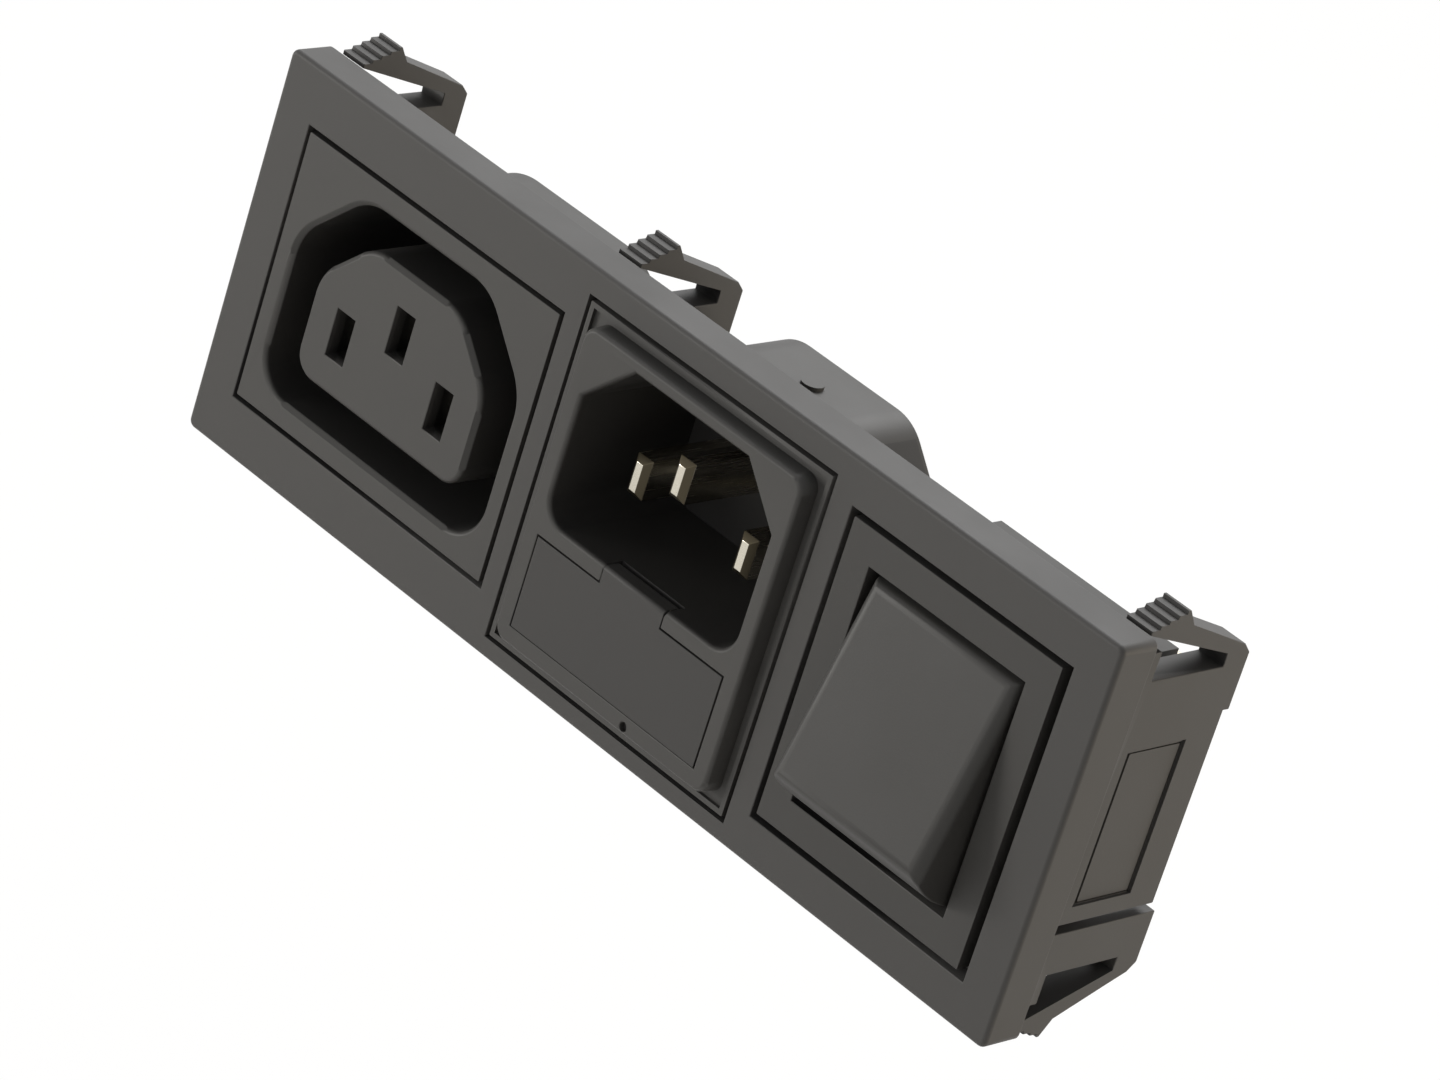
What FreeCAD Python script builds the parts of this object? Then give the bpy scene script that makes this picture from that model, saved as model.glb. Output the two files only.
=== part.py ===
import FreeCAD, Part
import math
import os
import Sketcher

# Snap-in power entry panel: a moulded bezel frame that holds an outlet, a fused inlet and a rocker switch.
# Axes: +X right seen from the front, +Y into the panel, +Z up; origin at the centre of the flange's rear.

os.makedirs("parts", exist_ok=True)
doc = FreeCAD.newDocument("PowerEntryPanel")

# Driving dimensions in millimetres and degrees, grouped by the piece that they shape
SIZES = {
    # Bezel flange and the gaps round the three modules
    "flange_thickness": 4.4,
    "flange_margin": 2.525,
    "flange_corner_radius": 0.8,
    "flange_edge_radius": 0.5,
    "end_margin": 4.675,
    "switch_margin": 4.275,
    "clip_mullion": 2.175,
    "plain_mullion": 2.475,
    "recess_depth": 2.2,
    "module_gap": 0.45,
    "switch_gap": 0.6,
    "switch_play": 0.4,
    "body_gap": 0.15,
    # Skirt and end walls behind the flange
    "skirt_inset": 1.5,
    "skirt_depth": 3.0,
    "skirt_wall": 1.3,
    "skirt_room": 0.1,
    "wall_thickness": 1.6,
    "wall_setback": 0.8,
    "leg_band": 4.7,
    "slit_width": 0.9,
    "slit_front": 1.5,
    "pad_recess": 0.3,
    "pad_front": 3.1,
    "pad_length": 7.5,
    "pad_margin": 1.75,
    # Spring clips
    "clip_width": 3.0,
    "clip_depth": 15.1,
    "clip_drop": 2.9,
    "clip_leg_thickness": 1.4,
    "clip_root": 3.0,
    "clip_gap": 1.3,
    "clip_tip_gap": 0.6,
    "clip_tip_lift": 1.9,
    "clip_tip_rise": 0.4,
    "clip_step_run": 1.0,
    "clip_step_rise": 0.35,
    "clip_crest": 0.3,
    "clip_saddle_run": 1.1,
    "clip_saddle_lift": 0.2,
    "clip_heel_rise": 1.9,
    "clip_heel_bevel": 0.9,
    # Snap lugs on the modules
    "lug_width": 8.0,
    "lug_height": 0.6,
    "lug_length": 3.6,
    "lug_gap": 0.05,
    # Poles shared by the outlet and the inlet
    "pole_pitch": 14.0,
    "pole_offset": 2.0,
    "pin_width": 2.0,
    "pin_height": 4.0,
    "fit_gap": 0.03,
    # Tab terminals
    "tab_width": 6.3,
    "tab_thickness": 0.8,
    "tab_length": 7.7,
    "tab_hole_radius": 0.75,
    "tab_hole_inset": 3.1,
    "tab_bevel": 1.0,
    # Outlet
    "tongue_width": 23.6,
    "tongue_height": 15.6,
    "tongue_chamfer": 5.6,
    "tongue_radius": 2.5,
    "tongue_top_radius": 5.0,
    "channel_gap_x": 3.7,
    "channel_gap_z": 3.5,
    "channel_chamfer": 7.0,
    "channel_radius": 4.0,
    "channel_top_radius": 5.5,
    "mouth_bevel": 0.45,
    "outlet_wall": 1.4,
    "outlet_rim_x": 0.625,
    "outlet_rim_z": 0.975,
    "outlet_depth": 14.6,
    "outlet_floor": 2.2,
    "slot_gap_x": 0.25,
    "slot_gap_z": 0.4,
    "slot_skin": 1.5,
    "chamber_gap_x": 0.2,
    "chamber_gap_z": 0.5,
    "cover_thickness": 1.8,
    "cover_inset": 3.0,
    # Outlet contacts
    "contact_height": 4.4,
    "contact_strip": 0.45,
    "contact_half_width": 1.55,
    "contact_bite": 0.15,
    "contact_flare": 0.15,
    "contact_lead": 2.4,
    "contact_nose": 1.5,
    "contact_heel": 1.6,
    # Inlet
    "boss_raise": 1.6,
    "boss_lip": 0.6,
    "boss_margin": 1.325,
    "boss_draft": 4.0,
    "boss_corner_radius": 1.5,
    "inlet_rim_x": 1.5,
    "inlet_rim_z": 1.275,
    "inlet_drop": 0.3,
    "moat_rim": 0.5,
    "moat_depth": 0.4,
    "cavity_width": 24.7,
    "cavity_height": 17.3,
    "cavity_chamfer": 5.0,
    "cavity_radius": 2.5,
    "boss_edge_bevel": 0.4,
    "cavity_depth": 16.0,
    "inlet_wall": 1.2,
    "inlet_floor": 4.1,
    "inlet_top_chamfer": 5.8,
    "inlet_top_radius": 5.0,
    "nub_radius": 1.1,
    "nub_height": 0.4,
    "nub_offset": 0.4,
    "nub_setback": 5.75,
    "dimple_radius": 0.45,
    "dimple_depth": 0.6,
    "dimple_offset": 3.5,
    "dimple_lift": 0.8,
    "live_tip_depth": 4.0,
    "earth_tip_depth": 1.2,
    "pin_bevel": 0.6,
    "tail_width": 1.2,
    "tail_height": 2.4,
    "tail_length": 1.4,
    # Fuse drawer and its bay
    "drawer_height": 9.2,
    "drawer_gap": 0.15,
    "drawer_rest": 0.05,
    "drawer_front": 1.8,
    "drawer_floor": 1.2,
    "drawer_cheek": 1.3,
    "drawer_lip": 0.95,
    "bay_web": 1.85,
    "tray_gap": 0.5,
    "pull_width": 8.0,
    "pull_gap": 0.05,
    "pull_room": 2.4,
    "pull_edge_radius": 0.4,
    "saddle_width": 1.2,
    "saddle_spread": 3.6,
    # Fuse and its clips
    "fuse_length": 20.0,
    "fuse_radius": 2.6,
    "fuse_setback": 11.6,
    "fuse_gap": 0.05,
    "cap_length": 5.2,
    "cap_wall": 0.25,
    "cap_end": 0.4,
    "glass_wall": 0.45,
    "fuse_wire_radius": 0.2,
    "leaf_gap": 0.15,
    "leaf_width": 4.0,
    "leaf_rise": 2.4,
    "leaf_clear": 0.45,
    "leaf_room": 1.85,
    "strap_margin": 2.2,
    "strap_edge": 1.0,
    # Switch housing
    "switch_side_wall": 1.4,
    "switch_end_wall": 1.2,
    "switch_end_gap": 0.15,
    "switch_rim_x": 1.725,
    "switch_rim_z": 1.9,
    "switch_floor": 2.2,
    "switch_floor_room": 2.05,
    # Rocker
    "rocker_width": 18.2,
    "rocker_gap": 0.5,
    "rocker_end_gap": 0.13,
    "rocker_front": 6.76,
    "rocker_half_length": 9.33,
    "rocker_back": 2.0,
    "rocker_wall": 1.5,
    "rocker_tilt": 15.0,
    "rocker_edge_radius": 1.3,
    "pivot_depth": 4.1,
    "trunnion_radius": 1.6,
    "trunnion_gap": 0.05,
    "trunnion_end_gap": 0.1,
    # Plungers and springs inside the rocker
    "pole_spread": 4.6,
    "tube_wall": 0.8,
    "tube_back": 2.0,
    "plunger_radius": 1.6,
    "plunger_gap": 0.1,
    "plunger_length": 6.8,
    "plunger_lift": 0.25,
    "plunger_flat": 0.7,
    "spring_wire": 0.2,
    "spring_turns": 4.0,
    "spring_gap": 0.05,
    # Rocking contacts and their terminals
    "fulcrum_depth": 7.4,
    "fulcrum_gap": 0.08,
    "blade_half_length": 7.0,
    "blade_width": 4.0,
    "blade_strip": 0.6,
    "blade_bend": 10.0,
    "blade_tilt": 6.0,
    "button_radius": 1.3,
    "button_height": 0.7,
    "button_inset": 1.5,
    "button_gap": 0.25,
    "anvil_height": 1.0,
    "anvil_margin": 2.6,
}

# Places and fits worked out from the driving dimensions
PLACES = {
    "front": "-Size.flange_thickness",
    "ledge": "front + Size.recess_depth",
    "tongue_half_x": "Size.tongue_width / 2",
    "tongue_half_z": "Size.tongue_height / 2",
    "channel_half_x": "tongue_half_x + Size.channel_gap_x",
    "channel_half_z": "tongue_half_z + Size.channel_gap_z",
    "outlet_half_x": "channel_half_x + Size.outlet_wall",
    "outlet_half_z": "channel_half_z + Size.outlet_wall",
    "outlet_chamfer": "Size.channel_chamfer + Size.outlet_wall * (2 - sqrt(2))",
    "outlet_top_radius": "Size.channel_top_radius + Size.outlet_wall",
    "outlet_flange_x": "outlet_half_x + Size.outlet_rim_x",
    "outlet_flange_z": "outlet_half_z + Size.outlet_rim_z",
    "channel_floor": "Size.outlet_depth - Size.outlet_floor",
    "cover_back": "Size.outlet_depth + Size.cover_thickness",
    "chamber_half_x": "Size.contact_half_width + Size.contact_flare + Size.chamber_gap_x",
    "contact_tip": "front + Size.slot_skin + Size.contact_lead",
    "contact_base": "Size.outlet_depth - Size.contact_heel",
    "contact_pinch": "Size.pin_width / 2 - Size.contact_bite",
    "drawer_half": "Size.fuse_length / 2 + Size.fuse_gap + Size.drawer_cheek + Size.drawer_lip",
    "bay_half": "drawer_half + Size.drawer_gap",
    "inlet_half_x": "max(Size.cavity_width / 2; bay_half) + Size.inlet_wall",
    "inlet_half_z": "(Size.cavity_height + Size.bay_web + Size.drawer_height) / 2 + Size.boss_margin",
    "boss_half_x": "inlet_half_x + Size.boss_lip",
    "boss_front": "front - Size.boss_raise",
    "boss_height": "Size.boss_raise + Size.moat_depth",
    "boss_half_z": "inlet_half_z + Size.inlet_drop",
    "boss_bottom": "-inlet_half_z - 2 * Size.inlet_drop",
    "inlet_flange_x": "boss_half_x + Size.inlet_rim_x",
    "inlet_flange_z": "boss_half_z + Size.inlet_rim_z",
    "cavity_top": "inlet_half_z - Size.boss_margin",
    "cavity_bottom": "cavity_top - Size.cavity_height",
    "cavity_back": "boss_front + Size.cavity_depth",
    "inlet_back": "cavity_back + Size.inlet_floor",
    "live_z": "(cavity_top + cavity_bottom) / 2 - Size.pole_offset",
    "earth_z": "(cavity_top + cavity_bottom) / 2 + Size.pole_offset",
    "drawer_top": "cavity_bottom - Size.bay_web",
    "drawer_bottom": "drawer_top - Size.drawer_height",
    "drawer_back": "boss_front + Size.drawer_front",
    "pull_top": "cavity_bottom - Size.pull_gap",
    "tray_half": "drawer_half - Size.drawer_lip",
    "tray_top": "drawer_bottom + Size.drawer_floor",
    "fuse_y": "boss_front + Size.fuse_setback",
    "fuse_z": "tray_top + Size.fuse_radius + Size.fuse_gap",
    "fuse_back": "fuse_y + Size.fuse_radius",
    "leaf_front": "fuse_back + Size.leaf_gap",
    "leaf_back": "leaf_front + Size.tab_thickness",
    "leaf_bottom": "tray_top + Size.leaf_clear",
    "leaf_spread": "(Size.fuse_length - Size.cap_length) / 2",
    "leg_top": "fuse_z + Size.leaf_rise",
    "leg_bottom": "leg_top - Size.tab_thickness",
    "bay_back": "leaf_back + Size.leaf_room",
    "tray_back": "bay_back - Size.tray_gap",
    "strap_back": "inlet_back + Size.tab_thickness",
    "glass_radius": "Size.fuse_radius - Size.cap_wall",
    "glass_length": "Size.fuse_length - 2 * Size.cap_end",
    "rocker_half": "Size.rocker_width / 2",
    "rocker_radius": "sqrt(Size.rocker_front ^ 2 + Size.rocker_half_length ^ 2)",
    "aperture_half_x": "rocker_half + Size.rocker_gap",
    "aperture_half_z": "rocker_radius + Size.rocker_end_gap",
    "switch_inside_z": "aperture_half_z + Size.switch_end_gap",
    "switch_half_x": "aperture_half_x + Size.switch_side_wall",
    "switch_half_z": "switch_inside_z + Size.switch_end_wall",
    "switch_flange_x": "switch_half_x + Size.switch_rim_x",
    "switch_flange_z": "switch_half_z + Size.switch_rim_z",
    "pivot_y": "front + Size.pivot_depth",
    "bore_radius": "Size.plunger_radius + Size.plunger_gap",
    "tube_front": "-Size.rocker_front + Size.rocker_wall",
    "tube_length": "Size.tube_back - tube_front",
    "blade_axis": "Size.fulcrum_depth - Size.fulcrum_gap",
    "blade_rise": "Size.blade_half_length * tan(Size.blade_bend * 1 deg)",
    "blade_depth": "Size.blade_strip / cos(Size.blade_bend * 1 deg)",
    "plunger_tip": "blade_axis - blade_depth - Size.plunger_lift - pivot_y",
    "plunger_seat": "plunger_tip - Size.plunger_length",
    "button_z": "Size.blade_half_length - Size.button_inset",
    "button_foot": "-button_z * tan(Size.blade_bend * 1 deg)",
    "anvil_z": "button_z + Size.anvil_margin",
    "anvil_front": "blade_axis - button_z * tan((Size.blade_bend - Size.blade_tilt) * 1 deg)"
                   " + Size.button_height + Size.button_gap",
    "anvil_back": "anvil_front + Size.anvil_height",
    "floor_front": "anvil_back + Size.switch_floor_room",
    "switch_back": "floor_front + Size.switch_floor",
    "half_length": "outlet_flange_x + inlet_flange_x + switch_flange_x"
                   " + 2 * Size.module_gap + Size.switch_gap + Size.switch_play / 2"
                   " + (Size.clip_mullion + Size.plain_mullion + Size.end_margin + Size.switch_margin) / 2",
    "half_height": "inlet_flange_z - Size.inlet_drop + Size.module_gap + Size.flange_margin",
    "outlet_x": "-half_length + Size.end_margin + Size.module_gap + outlet_flange_x",
    "mullion_x": "outlet_x + outlet_flange_x + Size.module_gap + Size.clip_mullion / 2",
    "inlet_x": "mullion_x + Size.clip_mullion / 2 + Size.module_gap + inlet_flange_x",
    "switch_x": "inlet_x + inlet_flange_x + Size.module_gap + Size.plain_mullion"
                " + Size.switch_gap + switch_flange_x",
    "skirt_half_x": "half_length - Size.skirt_inset",
    "skirt_half_z": "inlet_half_z + Size.lug_height + Size.skirt_room + Size.skirt_wall",
    "clip_x": "skirt_half_x - Size.clip_width / 2",
    "leg_z": "skirt_half_z - Size.clip_drop",
    "slit_z": "leg_z - Size.leg_band",
    "pad_half_z": "slit_z - Size.slit_width / 2 - Size.pad_margin",
    "wall_back": "Size.clip_depth - Size.wall_setback",
    "tip_z": "skirt_half_z + Size.clip_tip_lift",
    "heel_z": "leg_z + Size.clip_heel_rise",
}


def fill_sheet(name, cells):
    """Make a sheet with one named cell a row."""
    sheet = doc.addObject("Spreadsheet::Sheet", name)
    for row, (alias, content) in enumerate(cells.items(), start=1):
        sheet.set(f"A{row}", alias)
        sheet.set(f"B{row}", content)
        sheet.setAlias(f"B{row}", alias)
    doc.recompute()
    return sheet


sizes = fill_sheet("Size", {alias: str(number) for alias, number in SIZES.items()})
places = fill_sheet("Place", {alias: "=" + formula for alias, formula in PLACES.items()})


def value(expression):
    """The number that an expression of sheet cells gives."""
    return float(sizes.evalExpression(expression))


def new_body(label):
    body = doc.addObject("PartDesign::Body", label)
    body.Label = label
    return body


def around(centre, half):
    """The low and high sides of a span round its centre."""
    return f"{centre} - ({half})", f"{centre} + ({half})"


def ordered(one, other):
    """Two sides as a low and high pair, whichever way round they come."""
    return tuple(sorted((one, other), key=value))


def block(body, kind, name, x, y, z):
    """Additive or Subtractive block; x, y and z are pairs of expressions for its low and high sides."""
    item = body.newObject(f"PartDesign::{kind}Box", name)
    for side, axis, (low, high) in zip(("Length", "Width", "Height"), "xyz", (x, y, z)):
        item.setExpression(side, f"({high}) - ({low})")
        item.setExpression(f"Placement.Base.{axis}", low)
    return item


ROD_TURNS = {
    "x": FreeCAD.Rotation(FreeCAD.Vector(0, 1, 0), 90),
    "y": FreeCAD.Rotation(FreeCAD.Vector(1, 0, 0), -90),
    "z": FreeCAD.Rotation(),
}


def rod(body, kind, name, axis, start, radius, length):
    """Additive or Subtractive cylinder that runs along an axis from its start point."""
    item = body.newObject(f"PartDesign::{kind}Cylinder", name)
    item.Placement = FreeCAD.Placement(FreeCAD.Vector(), ROD_TURNS[axis])
    item.setExpression("Radius", radius)
    item.setExpression("Height", length)
    for letter, place in zip("xyz", start):
        item.setExpression(f"Placement.Base.{letter}", place)
    return item


SKETCH_PLANES = {"x": "YZ_Plane", "y": "XZ_Plane", "z": "XY_Plane"}


def outline(body, name, axis, points, level):
    """Closed outline of straight sides, square to an axis at a level; points are pairs of expressions."""
    sketch = body.newObject("Sketcher::SketchObject", name)
    plane = next(item for item in body.Origin.OriginFeatures if item.Role == SKETCH_PLANES[axis])
    sketch.AttachmentSupport = [(plane, "")]
    sketch.MapMode = "FlatFace"
    sketch.setExpression("AttachmentOffset.Base.z", f"-({level})" if axis == "y" else level)
    corners = [FreeCAD.Vector(value(across), value(up), 0) for across, up in points]
    for start, end in zip(corners, corners[1:] + corners[:1]):
        sketch.addGeometry(Part.LineSegment(start, end))
    for number in range(len(corners)):
        following = (number + 1) % len(corners)
        sketch.addConstraint(Sketcher.Constraint("Coincident", number, 2, following, 1))
    for number, (corner, (across, up)) in enumerate(zip(corners, points)):
        for kind, distance, expression in (("DistanceX", corner.x, across), ("DistanceY", corner.y, up)):
            index = sketch.addConstraint(Sketcher.Constraint(kind, -1, 1, number, 1, distance))
            sketch.setExpression(f"Constraints[{index}]", expression)
    return sketch


def prism(body, kind, name, axis, points, low, high):
    """Pad or Pocket an outline along an axis, from the low level to the high one."""
    item_outline = outline(body, name + "_outline", axis, points, low)
    item = body.newObject(f"PartDesign::{kind}", name)
    item.Profile = item_outline
    item.setExpression("Length", f"({high}) - ({low})")
    item.Reversed = (axis == "y") == (kind == "Pad")
    return item


def lies_at(edge, **levels):
    """Whether both ends of an edge have the given x, y or z."""
    ends = [(end, axis.upper(), level) for end in edge.Vertexes for axis, level in levels.items()]
    return all(abs(getattr(end, axis) - level) < 0.001 for end, axis, level in ends)


def lower_corner(edge, centre, half_width, bottom):
    """Whether an edge runs along a lower corner of a box seen from the front."""
    return any(lies_at(edge, x=centre + side, z=bottom) for side in (-half_width, half_width))


def upper_corner(edge, box_outline):
    """Whether an edge runs along one of the four upper corners of a chamfered box outline."""
    return any(lies_at(edge, x=value(x), z=value(z)) for x, z in box_outline[2:])


def soften(body, kind, name, size, keep):
    """Fillet or Chamfer the edges of the body so far that a test keeps."""
    doc.recompute()
    base = body.Tip
    chosen = [f"Edge{number}" for number, edge in enumerate(base.Shape.Edges, start=1) if keep(edge)]
    item = body.newObject(f"PartDesign::{kind}", name)
    item.Base = (base, chosen)
    item.setExpression("Radius" if kind == "Fillet" else "Size", size)
    return item


def chamfered(centre, half_width, bottom, top, chamfer):
    """Outline of a box with both upper corners cut at 45 degrees."""
    left, right = around(centre, half_width)
    shoulder = f"{top} - ({chamfer})"
    return [
        (left, bottom),
        (right, bottom),
        (right, shoulder),
        (f"{right} - ({chamfer})", top),
        (f"{left} + ({chamfer})", top),
        (left, shoulder),
    ]


def tab(body, flat, x, z, start):
    """Push-on terminal along Y with bevelled corners and a locking hole, lying flat or standing upright."""
    end = f"{start} + Size.tab_length"
    hole_y = f"{end} - Size.tab_hole_inset"
    tip = value(end)
    half = value("Size.tab_width / 2")
    across_x, across_z = around(x, "Size.tab_width / 2"), around(z, "Size.tab_width / 2")
    thin_x, thin_z = around(x, "Size.tab_thickness / 2"), around(z, "Size.tab_thickness / 2")
    if flat:
        block(body, "Additive", "tab", across_x, (start, end), thin_z)
        corners = [{"y": tip, "x": value(x) + side} for side in (-half, half)]
        hole_axis, hole_start = "z", (x, hole_y, thin_z[0])
    else:
        block(body, "Additive", "tab", thin_x, (start, end), across_z)
        corners = [{"y": tip, "z": value(z) + side} for side in (-half, half)]
        hole_axis, hole_start = "x", (thin_x[0], hole_y, z)
    soften(body, "Chamfer", "tab_corners", "Size.tab_bevel",
           lambda edge: any(lies_at(edge, **corner) for corner in corners))
    rod(body, "Subtractive", "tab_hole", hole_axis, hole_start, "Size.tab_hole_radius", "Size.tab_thickness")


def snap_lugs(body, centre, half_height):
    """Wedges above and below a module's body that catch behind the bezel flange."""
    for sign in ("", "-"):
        points = [
            ("Size.lug_gap", f"{sign}({half_height})"),
            ("Size.lug_gap + Size.lug_length", f"{sign}({half_height})"),
            ("Size.lug_gap", f"{sign}({half_height} + Size.lug_height)"),
        ]
        prism(body, "Pad", "snap_lug", "x", points, *around(centre, "Size.lug_width / 2"))


# Bezel frame, one moulding: first the flange and the skirt behind it
bezel = new_body("bezel_frame")
block(bezel, "Additive", "flange",
      around("0", "Place.half_length"), ("Place.front", "0"), around("0", "Place.half_height"))
flange_x, flange_z = value("Place.half_length"), value("Place.half_height")
flange_corners = [(x, z) for x in (-flange_x, flange_x) for z in (-flange_z, flange_z)]
soften(bezel, "Fillet", "flange_corners", "Size.flange_corner_radius",
       lambda edge: any(lies_at(edge, x=x, z=z) for x, z in flange_corners))
front_level = value("Place.front")
soften(bezel, "Fillet", "flange_front_edge", "Size.flange_edge_radius",
       lambda edge: lies_at(edge, y=front_level))
block(bezel, "Additive", "skirt",
      around("0", "Place.skirt_half_x"), ("0", "Size.skirt_depth"), around("0", "Place.skirt_half_z"))
block(bezel, "Subtractive", "skirt_inside",
      around("0", "Place.skirt_half_x - Size.skirt_wall"), ("0", "Size.skirt_depth"),
      around("0", "Place.skirt_half_z - Size.skirt_wall"))

# Walls behind the ends and the mullion, with wider legs under the clips; the end walls have a pad and a slit
CLIP_PLACES = ("-Place.clip_x", "Place.mullion_x", "Place.clip_x")
leg_span = around("0", "Place.leg_z")
for centre in CLIP_PLACES:
    for end in ("", "-"):
        leg = ordered(f"{end}Place.slit_z", f"{end}Place.leg_z")
        block(bezel, "Additive", "clip_leg",
              around(centre, "Size.clip_width / 2"), ("0", "Size.clip_depth"), leg)
for sign in ("", "-"):
    wall = ordered(f"{sign}(Place.skirt_half_x - Size.wall_thickness)", f"{sign}Place.skirt_half_x")
    block(bezel, "Additive", "end_wall", wall, ("0", "Place.wall_back"), leg_span)
    pad = ordered(f"{sign}(Place.skirt_half_x - Size.pad_recess)", f"{sign}Place.skirt_half_x")
    block(bezel, "Subtractive", "pad",
          pad, ("Size.pad_front", "Size.pad_front + Size.pad_length"), around("0", "Place.pad_half_z"))
    block(bezel, "Subtractive", "slit",
          around(f"{sign}Place.clip_x", "Size.clip_width / 2"), ("Size.slit_front", "Size.clip_depth"),
          around("-Place.slit_z", "Size.slit_width / 2"))
block(bezel, "Additive", "mullion_wall",
      around("Place.mullion_x", "Size.wall_thickness / 2"), ("0", "Place.wall_back"), leg_span)

# Windows for the flanges, each with its gap, its play on the right and its drop, and for the bodies behind
WINDOWS = {
    "outlet": ("Size.module_gap", "0", "0"),
    "inlet": ("Size.module_gap", "0", "Size.inlet_drop"),
    "switch": ("Size.switch_gap", "Size.switch_play", "0"),
}
for module, (gap, play, drop) in WINDOWS.items():
    centre = f"Place.{module}_x"
    recess_left, recess_right = around(centre, f"Place.{module}_flange_x + {gap}")
    block(bezel, "Subtractive", module + "_recess",
          (recess_left, f"{recess_right} + {play}"), ("Place.front", "Place.ledge"),
          around(f"-{drop}", f"Place.{module}_flange_z + {gap}"))
    block(bezel, "Subtractive", module + "_opening",
          around(centre, f"Place.{module}_half_x + Size.body_gap"), ("Place.front", "Size.skirt_depth"),
          around("0", f"Place.{module}_half_z + Size.body_gap"))

# Spring clips: a leg, a heel and an arm that comes forward to a stepped nose, at three places
STEPS = 4
nose_foot = "Place.tip_z + Size.clip_tip_rise"
nose = []
for step in range(STEPS, 0, -1):
    run = f"Size.clip_tip_gap + {step} * Size.clip_step_run"
    nose.append((run, f"{nose_foot} + {step} * Size.clip_step_rise"))
    nose.append((run, f"{nose_foot} + {step - 1} * Size.clip_step_rise"))
crest_y, crest_z = nose[0]
leg_inside = "Place.leg_z - Size.clip_leg_thickness"
heel_front = "Size.clip_depth - Size.clip_root"
clip_points = [
    ("0", leg_inside),
    ("Size.clip_depth", leg_inside),
    ("Size.clip_depth", "Place.heel_z - Size.clip_heel_bevel"),
    ("Size.clip_depth - Size.clip_heel_bevel", "Place.heel_z"),
    (f"{crest_y} + Size.clip_crest + Size.clip_saddle_run", "Place.tip_z + Size.clip_saddle_lift"),
    (f"{crest_y} + Size.clip_crest", crest_z),
    *nose,
    ("Size.clip_tip_gap", nose_foot),
    ("Size.clip_tip_gap", "Place.tip_z"),
    (heel_front, "Place.leg_z + Size.clip_gap"),
    (heel_front, "Place.leg_z"),
    ("0", "Place.leg_z"),
]
for centre in CLIP_PLACES:
    for sign in ("", "-"):
        points = [(y, f"{sign}({z})") for y, z in clip_points]
        prism(bezel, "Pad", "clip", "x", points, *around(centre, "Size.clip_width / 2"))

# Outlet housing: flange, shroud channel round a tongue, and a chamber behind each slot
outlet = new_body("outlet_body")
block(outlet, "Additive", "flange",
      around("Place.outlet_x", "Place.outlet_flange_x"), ("Place.front", "Place.ledge"),
      around("0", "Place.outlet_flange_z"))
housing_outline = chamfered("Place.outlet_x", "Place.outlet_half_x", "-Place.outlet_half_z",
                            "Place.outlet_half_z", "Place.outlet_chamfer")
prism(outlet, "Pad", "housing", "y", housing_outline, "Place.ledge", "Size.outlet_depth")
soften(outlet, "Fillet", "housing_top_corners", "Place.outlet_top_radius",
       lambda edge: upper_corner(edge, housing_outline))
channel_outline = chamfered("Place.outlet_x", "Place.channel_half_x", "-Place.channel_half_z",
                            "Place.channel_half_z", "Size.channel_chamfer")
prism(outlet, "Pocket", "channel", "y", channel_outline, "Place.front", "Place.channel_floor")
outlet_x = value("Place.outlet_x")
channel_x, channel_z = value("Place.channel_half_x"), value("Place.channel_half_z")
soften(outlet, "Fillet", "channel_corners", "Size.channel_radius",
       lambda edge: lower_corner(edge, outlet_x, channel_x, -channel_z))
soften(outlet, "Fillet", "channel_top_corners", "Size.channel_top_radius",
       lambda edge: upper_corner(edge, channel_outline))
tongue_outline = chamfered("Place.outlet_x", "Place.tongue_half_x", "-Place.tongue_half_z",
                           "Place.tongue_half_z", "Size.tongue_chamfer")
prism(outlet, "Pad", "tongue", "y", tongue_outline, "Place.front", "Place.channel_floor")
tongue_x, tongue_z = value("Place.tongue_half_x"), value("Place.tongue_half_z")
soften(outlet, "Fillet", "tongue_corners", "Size.tongue_radius",
       lambda edge: lower_corner(edge, outlet_x, tongue_x, -tongue_z))
soften(outlet, "Fillet", "tongue_top_corners", "Size.tongue_top_radius",
       lambda edge: upper_corner(edge, tongue_outline))
mouth_x, mouth_z = value("Place.outlet_half_x"), value("Place.outlet_half_z")
soften(outlet, "Chamfer", "mouth_edges", "Size.mouth_bevel",
       lambda edge: lies_at(edge, y=front_level) and abs(edge.CenterOfMass.x - outlet_x) < mouth_x
       and abs(edge.CenterOfMass.z) < mouth_z)
OUTLET_POLES = {
    "live": ("Place.outlet_x - Size.pole_pitch / 2", "-Size.pole_offset"),
    "earth": ("Place.outlet_x", "Size.pole_offset"),
    "neutral": ("Place.outlet_x + Size.pole_pitch / 2", "-Size.pole_offset"),
}
slot_back = "Place.front + Size.slot_skin"
for x, z in OUTLET_POLES.values():
    block(outlet, "Subtractive", "slot",
          around(x, "Size.pin_width / 2 + Size.slot_gap_x"), ("Place.front", slot_back),
          around(z, "Size.pin_height / 2 + Size.slot_gap_z"))
    block(outlet, "Subtractive", "chamber",
          around(x, "Place.chamber_half_x"), (slot_back, "Size.outlet_depth"),
          around(z, "Size.contact_height / 2 + Size.chamber_gap_z"))
snap_lugs(outlet, "Place.outlet_x", "Place.outlet_half_z")

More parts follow.
